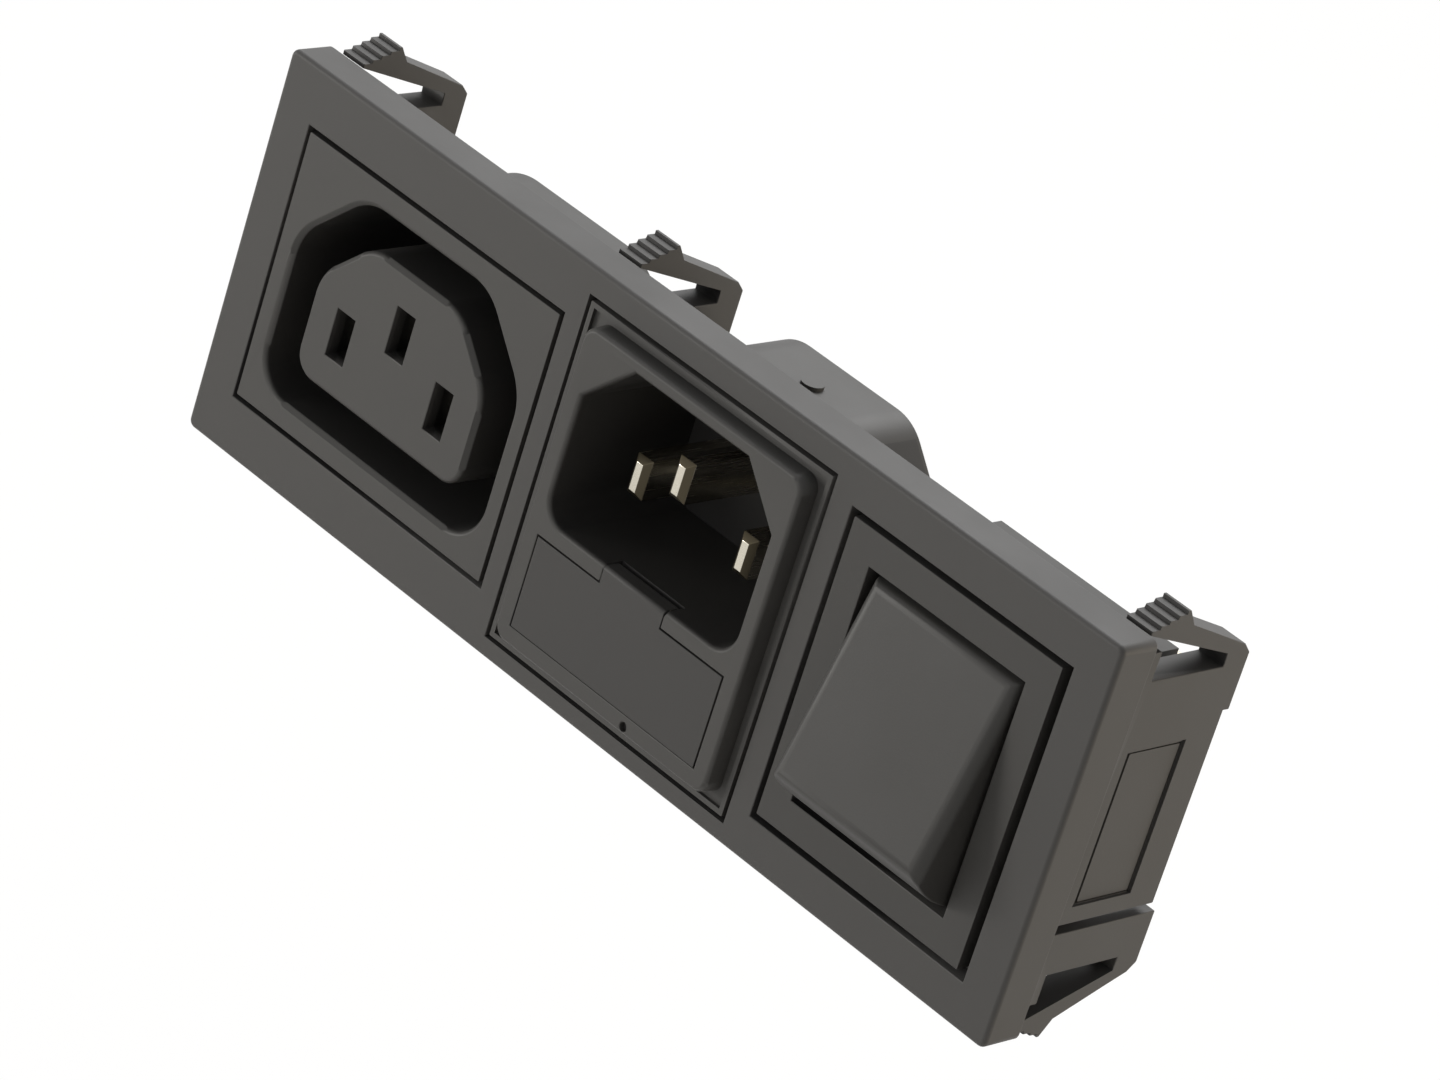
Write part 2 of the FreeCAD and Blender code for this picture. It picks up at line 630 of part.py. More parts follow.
# Rear cover of the outlet, with a close slot for each terminal
cover = new_body("outlet_rear_cover")
cover_outline = chamfered("Place.outlet_x", "Place.outlet_half_x - Size.cover_inset",
                          "Size.cover_inset - Place.outlet_half_z", "Place.outlet_half_z - Size.cover_inset",
                          "Place.outlet_chamfer")
prism(cover, "Pad", "plate", "y", cover_outline, "Size.outlet_depth", "Place.cover_back")
for x, z in OUTLET_POLES.values():
    block(cover, "Subtractive", "tab_slot",
          around(x, "Size.tab_thickness / 2 + Size.fit_gap"), ("Size.outlet_depth", "Place.cover_back"),
          around(z, "Size.tab_width / 2 + Size.fit_gap"))

# Outlet contacts: folded forks that grip a pin, each with a terminal behind the cover
fork_inside = "Size.contact_half_width - Size.contact_strip"
nose_y = "Place.contact_tip + Size.contact_nose"
fork_side = [
    ("Size.contact_half_width", "Place.contact_base"),
    ("Place.contact_pinch + Size.contact_strip", nose_y),
    ("Size.contact_half_width + Size.contact_flare", "Place.contact_tip"),
    (f"{fork_inside} + Size.contact_flare", "Place.contact_tip"),
    ("Place.contact_pinch", nose_y),
    (fork_inside, "Place.contact_base - Size.contact_strip"),
]
for pole, (x, z) in OUTLET_POLES.items():
    contact = new_body(f"outlet_{pole}_contact")
    right = [(f"{x} + {across}", y) for across, y in fork_side]
    left = [(f"{x} - ({across})", y) for across, y in reversed(fork_side)]
    prism(contact, "Pad", "fork", "z", right + left, *around(z, "Size.contact_height / 2"))
    block(contact, "Additive", "stem",
          around(x, "Size.tab_thickness / 2"), ("Place.contact_base", "Size.outlet_depth"),
          around(z, "Size.contact_height / 2"))
    block(contact, "Additive", "shank",
          around(x, "Size.tab_thickness / 2"), ("Size.outlet_depth", "Place.cover_back"),
          around(z, "Size.tab_width / 2"))
    tab(contact, False, x, z, "Place.cover_back")

# Inlet housing: flange, raised boss in a shallow moat, plug cavity above and fuse bay below
inlet = new_body("inlet_body")
block(inlet, "Additive", "flange",
      around("Place.inlet_x", "Place.inlet_flange_x"), ("Place.front", "Place.ledge"),
      around("-Size.inlet_drop", "Place.inlet_flange_z"))
moat_floor = "Place.front + Size.moat_depth"
block(inlet, "Subtractive", "moat",
      around("Place.inlet_x", "Place.inlet_flange_x - Size.moat_rim"), ("Place.front", moat_floor),
      around("-Size.inlet_drop", "Place.inlet_flange_z - Size.moat_rim"))
boss_foot = "Place.boss_height * tan(Size.boss_draft * 1 deg)"
boss_left, boss_right = around("Place.inlet_x", f"Place.boss_half_x + {boss_foot}")
boss_low, boss_high = around("-Size.inlet_drop", f"Place.boss_half_z + {boss_foot}")
boss_outline = [(boss_left, boss_low), (boss_right, boss_low)]
boss_outline += [(boss_right, boss_high), (boss_left, boss_high)]
boss = prism(inlet, "Pad", "boss", "y", boss_outline, moat_floor, f"{moat_floor} + Place.boss_height")
boss.Reversed = False
boss.setExpression("TaperAngle", "-Size.boss_draft")
boss_level = value("Place.boss_front")
soften(inlet, "Fillet", "boss_corners", "Size.boss_corner_radius",
       lambda edge: sorted(round(end.Y - boss_level, 3) for end in edge.Vertexes)
       == [0, round(value("Place.boss_height"), 3)])
shell_outline = chamfered("Place.inlet_x", "Place.inlet_half_x", "-Place.inlet_half_z",
                          "Place.inlet_half_z", "Size.inlet_top_chamfer")
prism(inlet, "Pad", "shell", "y", shell_outline, "Place.ledge", "Place.inlet_back")
soften(inlet, "Fillet", "shell_top_corners", "Size.inlet_top_radius",
       lambda edge: upper_corner(edge, shell_outline))
cavity_outline = chamfered("Place.inlet_x", "Size.cavity_width / 2", "Place.cavity_bottom",
                           "Place.cavity_top", "Size.cavity_chamfer")
prism(inlet, "Pocket", "cavity", "y", cavity_outline, "Place.boss_front", "Place.cavity_back")
inlet_x = value("Place.inlet_x")
cavity_x, cavity_bottom = value("Size.cavity_width / 2"), value("Place.cavity_bottom")
soften(inlet, "Fillet", "cavity_corners", "Size.cavity_radius",
       lambda edge: lower_corner(edge, inlet_x, cavity_x, cavity_bottom))
soften(inlet, "Chamfer", "boss_edges", "Size.boss_edge_bevel", lambda edge: lies_at(edge, y=boss_level))
block(inlet, "Subtractive", "fuse_bay",
      around("Place.inlet_x", "Place.bay_half"), ("Place.boss_front", "Place.bay_back"),
      ("Place.drawer_bottom - Size.drawer_rest", "Place.drawer_top + Size.drawer_gap"))
block(inlet, "Subtractive", "pull_notch",
      around("Place.inlet_x", "Size.pull_width / 2 + Size.drawer_gap"),
      ("Place.boss_front", "Place.boss_front + Size.pull_room"),
      ("Place.drawer_top", "Place.cavity_bottom + Size.boss_edge_bevel"))
INLET_POLES = {
    "neutral": ("Place.inlet_x - Size.pole_pitch / 2", "Place.live_z"),
    "earth": ("Place.inlet_x", "Place.earth_z"),
    "live": ("Place.inlet_x + Size.pole_pitch / 2", "Place.live_z"),
}
for x, z in INLET_POLES.values():
    block(inlet, "Subtractive", "pin_hole",
          around(x, "Size.pin_width / 2 + Size.fit_gap"), ("Place.cavity_back", "Place.inlet_back"),
          around(z, "Size.pin_height / 2 + Size.fit_gap"))
CLIP_SIDES = {"left": "Place.inlet_x - Place.leaf_spread", "right": "Place.inlet_x + Place.leaf_spread"}
for x in CLIP_SIDES.values():
    block(inlet, "Subtractive", "leg_slot",
          around(x, "Size.leaf_width / 2 + Size.fit_gap"), ("Place.bay_back", "Place.inlet_back"),
          ("Place.leg_bottom - Size.fit_gap", "Place.leg_top + Size.fit_gap"))
nub_start = ("Place.inlet_x + Size.nub_offset", "Place.inlet_back - Size.nub_setback", "Place.inlet_half_z")
rod(inlet, "Additive", "gate_nub", "z", nub_start, "Size.nub_radius", "Size.nub_height")
dimple_x, dimple_z = "Place.inlet_x + Size.dimple_offset", "Place.boss_bottom + Size.dimple_lift"
dimple_start = (dimple_x, "Place.boss_front", dimple_z)
rod(inlet, "Subtractive", "dimple", "y", dimple_start, "Size.dimple_radius", "Size.dimple_depth")
snap_lugs(inlet, "Place.inlet_x", "Place.inlet_half_z")

# Inlet pins with bevelled tips: two end in terminals, the live one in a tail riveted to its strap
for pole, (x, z) in INLET_POLES.items():
    pin = new_body(f"inlet_{pole}_pin")
    tip = "Place.boss_front + " + ("Size.earth_tip_depth" if pole == "earth" else "Size.live_tip_depth")
    block(pin, "Additive", "blade",
          around(x, "Size.pin_width / 2"), (tip, "Place.inlet_back"), around(z, "Size.pin_height / 2"))
    tip_level = value(tip)
    soften(pin, "Chamfer", "tip", "Size.pin_bevel", lambda edge: lies_at(edge, y=tip_level))
    if pole == "live":
        block(pin, "Additive", "tail",
              around(x, "Size.tail_width / 2"), ("Place.inlet_back", "Place.inlet_back + Size.tail_length"),
              around(z, "Size.tail_height / 2"))
    else:
        tab(pin, False, x, z, "Place.inlet_back")

# Fuse clips: leaves that meet the caps; the left one ends in a terminal, the right one in the live strap
for side, x in CLIP_SIDES.items():
    clip = new_body(f"fuse_clip_{side}")
    leg_end = {"left": "Place.inlet_back", "right": "Place.strap_back"}[side]
    leaf_outline = [
        ("Place.leaf_front", "Place.leaf_bottom"),
        ("Place.leaf_back", "Place.leaf_bottom"),
        ("Place.leaf_back", "Place.leg_bottom"),
        (leg_end, "Place.leg_bottom"),
        (leg_end, "Place.leg_top"),
        ("Place.leaf_front", "Place.leg_top"),
    ]
    prism(clip, "Pad", "leaf", "x", leaf_outline, *around(x, "Size.leaf_width / 2"))
    if side == "left":
        tab(clip, True, x, "Place.leg_top - Size.tab_thickness / 2", "Place.inlet_back")
    else:
        live_x, live_z = INLET_POLES["live"]
        leaf_low, leaf_high = around(x, "Size.leaf_width / 2")
        tail_low, tail_high = around(live_x, "Size.tail_width / 2 + Size.strap_edge")
        strap = (f"min({leaf_low}; {tail_low})", f"max({leaf_high}; {tail_high})")
        block(clip, "Additive", "strap",
              strap, ("Place.inlet_back", "Place.strap_back"),
              ("Place.leg_bottom", f"{live_z} + Size.strap_margin"))
        block(clip, "Subtractive", "tail_hole",
              around(live_x, "Size.tail_width / 2 + Size.fit_gap"), ("Place.inlet_back", "Place.strap_back"),
              around(live_z, "Size.tail_height / 2 + Size.fit_gap"))

# Fuse drawer: a front with a pull, and an open tray that cradles the fuse crosswise
drawer = new_body("fuse_drawer")
block(drawer, "Additive", "face",
      around("Place.inlet_x", "Place.drawer_half"), ("Place.boss_front", "Place.drawer_back"),
      ("Place.drawer_bottom", "Place.drawer_top"))
block(drawer, "Additive", "pull",
      around("Place.inlet_x", "Size.pull_width / 2"), ("Place.boss_front", "Place.drawer_back"),
      ("Place.drawer_top", "Place.pull_top"))
pull_level = value("Place.pull_top")
soften(drawer, "Fillet", "pull_edge", "Size.pull_edge_radius",
       lambda edge: lies_at(edge, y=boss_level, z=pull_level))
block(drawer, "Additive", "floor",
      around("Place.inlet_x", "Place.tray_half"), ("Place.drawer_back", "Place.tray_back"),
      ("Place.drawer_bottom", "Place.tray_top"))
for sign in ("-", "+"):
    cheek = ordered(f"Place.inlet_x {sign} (Place.tray_half - Size.drawer_cheek)",
                    f"Place.inlet_x {sign} Place.tray_half")
    block(drawer, "Additive", "cheek",
          cheek, ("Place.drawer_back", "Place.fuse_back"),
          ("Place.tray_top", "Place.fuse_z + Size.fuse_radius / 2"))
    block(drawer, "Additive", "saddle",
          around(f"Place.inlet_x {sign} Size.saddle_spread", "Size.saddle_width / 2"),
          ("Place.drawer_back", "Place.fuse_back"), ("Place.tray_top", "Place.fuse_z"))
fuse_left, fuse_right = around("Place.inlet_x", "Size.fuse_length / 2")
rod(drawer, "Subtractive", "fuse_seat", "x",
    (f"{fuse_left} - Size.fuse_gap", "Place.fuse_y", "Place.fuse_z"),
    "Size.fuse_radius + Size.fuse_gap", "Size.fuse_length + 2 * Size.fuse_gap")

# Fuse: glass tube, the wire inside it and a cap on each end
glass_start = (f"{fuse_left} + Size.cap_end", "Place.fuse_y", "Place.fuse_z")
tube = new_body("fuse_tube")
rod(tube, "Additive", "glass", "x", glass_start, "Place.glass_radius", "Place.glass_length")
rod(tube, "Subtractive", "bore", "x",
    glass_start, "Place.glass_radius - Size.glass_wall", "Place.glass_length")
wire = new_body("fuse_wire")
rod(wire, "Additive", "strand", "x", glass_start, "Size.fuse_wire_radius", "Place.glass_length")
CAP_STARTS = {
    "left": (fuse_left, f"{fuse_left} + Size.cap_end"),
    "right": (f"{fuse_right} - Size.cap_length", f"{fuse_right} - Size.cap_length"),
}
for side, (start, socket) in CAP_STARTS.items():
    cap = new_body(f"fuse_cap_{side}")
    rod(cap, "Additive", "cap", "x",
        (start, "Place.fuse_y", "Place.fuse_z"), "Size.fuse_radius", "Size.cap_length")
    rod(cap, "Subtractive", "socket", "x",
        (socket, "Place.fuse_y", "Place.fuse_z"), "Place.glass_radius", "Size.cap_length - Size.cap_end")

# Switch housing: flange with the rocker aperture, a deep box, and a floor that carries the terminals
housing = new_body("switch_body")
block(housing, "Additive", "flange",
      around("Place.switch_x", "Place.switch_flange_x"), ("Place.front", "Place.ledge"),
      around("0", "Place.switch_flange_z"))
block(housing, "Additive", "box",
      around("Place.switch_x", "Place.switch_half_x"), ("Place.ledge", "Place.switch_back"),
      around("0", "Place.switch_half_z"))
block(housing, "Subtractive", "aperture",
      around("Place.switch_x", "Place.aperture_half_x"), ("Place.front", "Place.ledge"),
      around("0", "Place.aperture_half_z"))
block(housing, "Subtractive", "inside",
      around("Place.switch_x", "Place.aperture_half_x"), ("Place.ledge", "Place.floor_front"),
      around("0", "Place.switch_inside_z"))
rod(housing, "Subtractive", "pivot_holes", "x",
    ("Place.switch_x - Place.switch_half_x", "Place.pivot_y", "0"),
    "Size.trunnion_radius + Size.trunnion_gap", "2 * Place.switch_half_x")
POLE_SIDES = {"left": "Place.switch_x - Size.pole_spread", "right": "Place.switch_x + Size.pole_spread"}
for x in POLE_SIDES.values():
    for z in ("0", "Place.anvil_z"):
        block(housing, "Subtractive", "terminal_slot",
              around(x, "Size.blade_width / 2 + Size.fit_gap"), ("Place.floor_front", "Place.switch_back"),
              around(z, "Size.tab_thickness / 2 + Size.fit_gap"))
snap_lugs(housing, "Place.switch_x", "Place.switch_half_z")


def turn_about_x(body, angle, x, y):
    """Turn a piece modelled about its own pivot, and put the pivot in its place."""
    turn = FreeCAD.Rotation(FreeCAD.Vector(1, 0, 0), value(angle))
    body.Placement = FreeCAD.Placement(FreeCAD.Vector(), turn)
    body.setExpression("Placement.Rotation.Angle", f"{angle} * 1 deg")
    body.setExpression("Placement.Base.x", x)
    body.setExpression("Placement.Base.y", y)


# Rocker, stored with its top pressed in: flat face, round ends, and a hollow with a tube for each plunger
rocker = new_body("rocker")
rocker_span = around("0", "Place.rocker_half")
round_span = around("0", "Place.rocker_radius")
rod(rocker, "Additive", "round_ends", "x",
    ("-Place.rocker_half", "0", "0"), "Place.rocker_radius", "Size.rocker_width")
block(rocker, "Subtractive", "face", rocker_span, ("-Place.rocker_radius", "-Size.rocker_front"), round_span)
block(rocker, "Subtractive", "back", rocker_span, ("Size.rocker_back", "Place.rocker_radius"), round_span)
face_level = value("-Size.rocker_front")
soften(rocker, "Fillet", "face_edges", "Size.rocker_edge_radius", lambda edge: lies_at(edge, y=face_level))
hollow_front = "Size.rocker_half_length - Size.rocker_wall"
hollow_back = "Size.rocker_half_length"
hollow_outline = [
    ("Place.tube_front", f"-({hollow_front})"),
    ("Size.rocker_back", f"-({hollow_back})"),
    ("Size.rocker_back", hollow_back),
    ("Place.tube_front", hollow_front),
]
prism(rocker, "Pocket", "hollow", "x", hollow_outline, *around("0", "Place.rocker_half - Size.rocker_wall"))
trunnion_reach = "(Place.switch_half_x - Size.trunnion_end_gap)"
rod(rocker, "Additive", "trunnions", "x",
    (f"-{trunnion_reach}", "0", "0"), "Size.trunnion_radius", f"2 * {trunnion_reach}")
TUBE_STEPS = (("Additive", "Place.bore_radius + Size.tube_wall"), ("Subtractive", "Place.bore_radius"))
for kind, radius in TUBE_STEPS:
    for x in ("-Size.pole_spread", "Size.pole_spread"):
        rod(rocker, kind, "plunger_tube", "y", (x, "Place.tube_front", "0"), radius, "Place.tube_length")
turn_about_x(rocker, "-Size.rocker_tilt", "Place.switch_x", "Place.pivot_y")

# Plungers with bevelled tips
tip_level = value("Place.plunger_tip")
for side, x in POLE_SIDES.items():
    plunger = new_body(f"plunger_{side}")
    rod(plunger, "Additive", "stem", "y",
        ("0", "Place.plunger_seat", "0"), "Size.plunger_radius", "Size.plunger_length")
    soften(plunger, "Chamfer", "nose", "Size.plunger_radius - Size.plunger_flat",
           lambda edge: lies_at(edge, y=tip_level))
    turn_about_x(plunger, "-Size.rocker_tilt", x, "Place.pivot_y")

# Springs behind the plungers: a wire wound in short straight steps along a helix
TURN_STEPS = 12
SECTION_SIDES = 6
wire_radius = value("Size.spring_wire")
coil_radius = value("Place.bore_radius - Size.spring_wire - Size.spring_gap")
coil_start = value("Place.tube_front + Size.spring_wire + Size.spring_gap")
coil_end = value("Place.plunger_seat - Size.spring_wire - Size.spring_gap")
coil_steps = round(value("Size.spring_turns") * TURN_STEPS)
coil_points = []
for step in range(coil_steps + 1):
    turn = 2 * math.pi * step / TURN_STEPS
    rise = coil_start + (coil_end - coil_start) * step / coil_steps
    coil_points.append(FreeCAD.Vector(coil_radius * math.cos(turn), rise, coil_radius * math.sin(turn)))
section_points = []
for corner in range(SECTION_SIDES + 1):
    turn = 2 * math.pi * corner / SECTION_SIDES
    across = FreeCAD.Vector(wire_radius * math.cos(turn), wire_radius * math.sin(turn), 0)
    section_points.append(coil_points[0] + across)
coil_path = Part.makePolygon(coil_points)
coil = coil_path.makePipeShell([Part.makePolygon(section_points)], True, False, 1)
for side, x in POLE_SIDES.items():
    spring = doc.addObject("Part::Feature", f"plunger_spring_{side}")
    spring.Label = f"plunger_spring_{side}"
    spring.Shape = coil
    spring.Placement = FreeCAD.Placement(
        FreeCAD.Vector(value(x), value("Place.pivot_y"), 0),
        FreeCAD.Rotation(FreeCAD.Vector(1, 0, 0), -value("Size.rocker_tilt")))

# Rocking contacts: shallow V blades on the centre terminals, each with a button over the fixed terminal
blade_tip, blade_crown = "-Place.blade_rise", "-Place.blade_rise - Place.blade_depth"
vee_outline = [
    ("0", "0"),
    (blade_tip, "Size.blade_half_length"),
    (blade_crown, "Size.blade_half_length"),
    ("-Place.blade_depth", "0"),
    (blade_crown, "-Size.blade_half_length"),
    (blade_tip, "-Size.blade_half_length"),
]
for side, x in POLE_SIDES.items():
    blade = new_body(f"contact_blade_{side}")
    prism(blade, "Pad", "vee", "x", vee_outline, *around("0", "Size.blade_width / 2"))
    rod(blade, "Additive", "button", "y",
        ("0", "Place.button_foot - Size.blade_strip / 2", "Place.button_z"), "Size.button_radius",
        "Size.button_height + Size.blade_strip / 2")
    turn_about_x(blade, "Size.blade_tilt", x, "Place.blade_axis")

# Terminals of the switch: a centre post under each blade, and a bracket under each button
crown_level = value("Size.fulcrum_depth")
for side, x in POLE_SIDES.items():
    post = new_body(f"pivot_terminal_{side}")
    block(post, "Additive", "post",
          around(x, "Size.blade_width / 2"), ("Size.fulcrum_depth", "Place.switch_back"),
          around("0", "Size.tab_thickness / 2"))
    soften(post, "Fillet", "crown", "0.45 * Size.tab_thickness",
           lambda edge: lies_at(edge, y=crown_level) and abs(edge.CenterOfMass.z) > 0.01)
    tab(post, True, x, "0", "Place.switch_back")
bracket_low, bracket_high = around("Place.anvil_z", "Size.tab_thickness / 2")
anvil_end = "Place.button_z - Size.button_radius"
bracket_outline = [
    ("Place.anvil_front", anvil_end),
    ("Place.anvil_back", anvil_end),
    ("Place.anvil_back", bracket_low),
    ("Place.switch_back", bracket_low),
    ("Place.switch_back", bracket_high),
    ("Place.anvil_front", bracket_high),
]
for side, x in POLE_SIDES.items():
    fixed = new_body(f"fixed_terminal_{side}")
    prism(fixed, "Pad", "bracket", "x", bracket_outline, *around(x, "Size.blade_width / 2"))
    tab(fixed, True, x, "Place.anvil_z", "Place.switch_back")

# Check every object, then write one file a piece
doc.recompute()
failed = [item.Label for item in doc.Objects if "Invalid" in item.State or "Error" in item.State]
if failed:
    raise RuntimeError("these objects failed: " + ", ".join(failed))
pieces = [item for item in doc.Objects if item.TypeId in ("PartDesign::Body", "Part::Feature")]
for piece in pieces:
    shape = piece.Shape
    if shape.isNull() or not shape.isValid() or len(shape.Solids) != 1:
        raise RuntimeError(f"{piece.Label} is not one valid solid")
for piece in pieces:
    piece.Shape.exportStep(f"parts/{piece.Label}.step")
    print(f"{piece.Label}: {piece.Shape.Volume:.1f} mm3")
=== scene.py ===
import math

import bmesh
import bpy
from mathutils import Matrix, Vector
from mathutils.geometry import intersect_point_line


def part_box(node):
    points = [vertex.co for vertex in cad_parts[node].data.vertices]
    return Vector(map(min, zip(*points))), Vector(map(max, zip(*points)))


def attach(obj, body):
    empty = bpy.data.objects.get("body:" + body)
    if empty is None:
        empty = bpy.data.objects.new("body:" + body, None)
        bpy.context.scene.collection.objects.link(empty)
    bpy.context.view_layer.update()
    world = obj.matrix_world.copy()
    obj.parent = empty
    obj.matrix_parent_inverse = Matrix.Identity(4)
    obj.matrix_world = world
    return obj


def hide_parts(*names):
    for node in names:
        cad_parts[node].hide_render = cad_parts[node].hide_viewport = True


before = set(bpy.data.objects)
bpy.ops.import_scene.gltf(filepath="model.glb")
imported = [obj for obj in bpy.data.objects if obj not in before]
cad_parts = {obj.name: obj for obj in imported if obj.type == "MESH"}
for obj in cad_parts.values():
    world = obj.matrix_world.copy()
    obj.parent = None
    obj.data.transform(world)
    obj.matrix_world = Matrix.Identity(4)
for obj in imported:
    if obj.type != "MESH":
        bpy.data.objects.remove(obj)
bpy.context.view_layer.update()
scene = bpy.context.scene
MM = 0.001

# Bezel frame: one injection moulding of black glass-filled polyamide that holds the three modules.
# Its tool was spark-eroded, so the flat sides have a fine matt grain and the edges come out softly
# rounded. Its stepped clips snap behind the cut-out of a cabinet wall.
BEZEL_BLACK = "#3f3e3d"
BEZEL_BLOOM = "#474645"
BEZEL_ROUGHNESS = 0.58
BEZEL_EDGE_MM = 0.12
GRAIN_MM = 0.2  # coarser than the real grain of about 0.05 mm, so that it shows
GRAIN_HEIGHT_MM = 0.012
GRAIN_STRENGTH = 0.5
GRAIN_DETAIL = 2.0
GRAIN_BREAKUP = 0.55
FLOW_MM = 14.0
FLOW_DETAIL = 4.0
FLOW_BREAKUP = 0.6
NOISE_LOW, NOISE_HIGH = 0.3, 0.7  # what a noise mostly lies between
MATT_SPREAD = 0.05
MATT_SPECULAR = 0.3
SAME_POINT = 1e-7
SAME_PLACE = 1e-5
FLAT = math.radians(1)  # faces at less than this angle are one flat side
SHARP = math.radians(32)  # edges above this angle are rounded
STEEP = math.radians(60)  # unrounded edges above this angle are creases
EDGE_STEPS = 2
SOFT_STEPS = 3
NARROW_MM = 0.6  # edges beside narrower faces aren't rounded
ROOM_SHARE = 0.4  # how much of a face's width its rounding may take
NO_LIMIT = 1.0
RUNS_ON = 0.85  # how nearly in line the next edge is when it only carries on
ACROSS = 0.6  # how far off square a gap across a face may lie
FLAT_FIRST = 100
FOLDED = math.radians(154)  # faces at more than this angle double back
PRESSES = 3
PRESS_MM = 0.15
CLOSE_MM = 0.06
PAD_FLOOR_MM = 52.7
PAD_LEAST_MM2 = 60.0  # smaller faces at that depth aren't the pad
PAD_MARGIN_MM = 0.1
PAD_MARGIN_FRONT_MM = 0.45  # more room in front and above, where the step hides what lies close to it
PAD_MARGIN_TOP_MM = 0.3
PAD_LINE_MM = 0.16
PAD_LINE_FRONT_MM = 0.16
PAD_LINE_DEPTH_MM = 0.4
PAD_DRAFT_MM = 0.02


def linear(hex_colour):
    """An sRGB hex colour as linear red, green, blue and alpha."""
    parts = [int(hex_colour[i:i + 2], 16) / 255 for i in (1, 3, 5)]
    return [c / 12.92 if c <= 0.04045 else ((c + 0.055) / 1.055) ** 2.4 for c in parts] + [1.0]


def node(material, kind, inputs=None, **settings):
    """Add a node with its settings; an input is a value, or a socket to link from."""
    made = material.node_tree.nodes.new(kind)
    for name, setting in settings.items():
        setattr(made, name, setting)
    for name, given in (inputs or {}).items():
        if isinstance(given, bpy.types.NodeSocket):
            material.node_tree.links.new(given, made.inputs[name])
        else:
            made.inputs[name].default_value = given
    return made


def new_material(name):
    """A material with its shader and its Object coordinates."""
    material = bpy.data.materials.new(name)
    material.use_nodes = True
    place = node(material, "ShaderNodeTexCoord").outputs["Object"]
    return material, material.node_tree.nodes["Principled BSDF"], place


def moulded_plastic(name, colour, bloom, roughness):
    """Black plastic with a faint pale bloom where the melt flowed, and the matt grain of its tool."""
    material, shader, place = new_material(name)
    flow = node(material, "ShaderNodeTexNoise", {
        "Vector": place, "Scale": 1 / (FLOW_MM * MM), "Detail": FLOW_DETAIL, "Roughness": FLOW_BREAKUP})
    tint = node(material, "ShaderNodeMix", {
        "Factor": flow.outputs["Fac"], "A": linear(colour), "B": linear(bloom)}, data_type="RGBA")
    matt = node(material, "ShaderNodeMapRange", {
        "Value": flow.outputs["Fac"], "From Min": NOISE_LOW, "From Max": NOISE_HIGH,
        "To Min": roughness - MATT_SPREAD, "To Max": roughness + MATT_SPREAD})
    grain = node(material, "ShaderNodeTexNoise", {
        "Vector": place, "Scale": 1 / (GRAIN_MM * MM),
        "Detail": GRAIN_DETAIL, "Roughness": GRAIN_BREAKUP})
    relief = node(material, "ShaderNodeBump", {
        "Height": grain.outputs["Fac"], "Strength": GRAIN_STRENGTH,
        "Distance": GRAIN_HEIGHT_MM * MM})
    links = material.node_tree.links
    links.new(tint.outputs["Result"], shader.inputs["Base Color"])
    links.new(matt.outputs["Result"], shader.inputs["Roughness"])
    links.new(relief.outputs["Normal"], shader.inputs["Normal"])
    shader.inputs["Specular IOR Level"].default_value = MATT_SPECULAR
    return material


def join_flat(shape):
    """Join the triangles of each flat side into a few faces, none of which touches itself."""
    joined = True
    while joined:
        joined = False
        for edge in list(shape.edges):
            if not edge.is_valid or len(edge.link_faces) != 2 or edge.calc_face_angle(0.0) > FLAT:
                continue
            one, other = edge.link_faces
            seam = set(one.edges) & set(other.edges)
            if len(set(one.verts) & set(other.verts)) == len(seam) + 1:
                bmesh.utils.face_join((one, other)).normal_update()
                joined = True


def room(edge):
    """How wide the narrower of the two faces beside an edge is."""
    ends = [vert.co for vert in edge.verts]
    along = (ends[1] - ends[0]).normalized()
    middle = (ends[0] + ends[1]) / 2
    reach = []
    for loop in edge.link_loops:
        after = loop.link_loop_next
        for side, end in ((loop.link_loop_prev.edge, loop.vert), (after.edge, after.vert)):
            away = side.other_vert(end).co - end.co
            in_line = abs(away.normalized().dot(along)) > RUNS_ON
            if not (in_line and side.calc_face_angle(0.0) > SHARP):
                reach.append(away.cross(along).length)
        for other in loop.face.edges:
            if other is not edge:
                start, stop = (vert.co for vert in other.verts)
                share = intersect_point_line(middle, start, stop)[1]
                gap = start.lerp(stop, min(max(share, 0.0), 1.0)) - middle
                if abs(gap.dot(along)) < ACROSS * gap.length:
                    reach.append(gap.length)
    return min(reach, default=NO_LIMIT)


def as_made(piece):
    """Turn a piece and its modifiers into a plain mesh."""
    bpy.context.view_layer.update()
    evaluated = piece.evaluated_get(bpy.context.evaluated_depsgraph_get())
    made = bpy.data.meshes.new_from_object(evaluated)
    piece.modifiers.clear()
    piece.data = made
    return made


def press_flat(mesh):
    """Merge the close points where roundings meet and the mesh doubles back on itself."""
    shape = bmesh.new()
    shape.from_mesh(mesh)
    for _ in range(PRESSES):
        cut = shape.copy()
        bmesh.ops.triangulate(cut, faces=cut.faces)
        folds = [vert.co.copy() for edge in cut.edges
                 if edge.calc_face_angle(0.0) > FOLDED for vert in edge.verts]
        cut.free()
        if not folds:
            break
        near = [vert for vert in shape.verts
                if any((vert.co - fold).length < PRESS_MM * MM for fold in folds)]
        bmesh.ops.remove_doubles(shape, verts=near, dist=CLOSE_MM * MM)
    shape.to_mesh(mesh)
    shape.free()


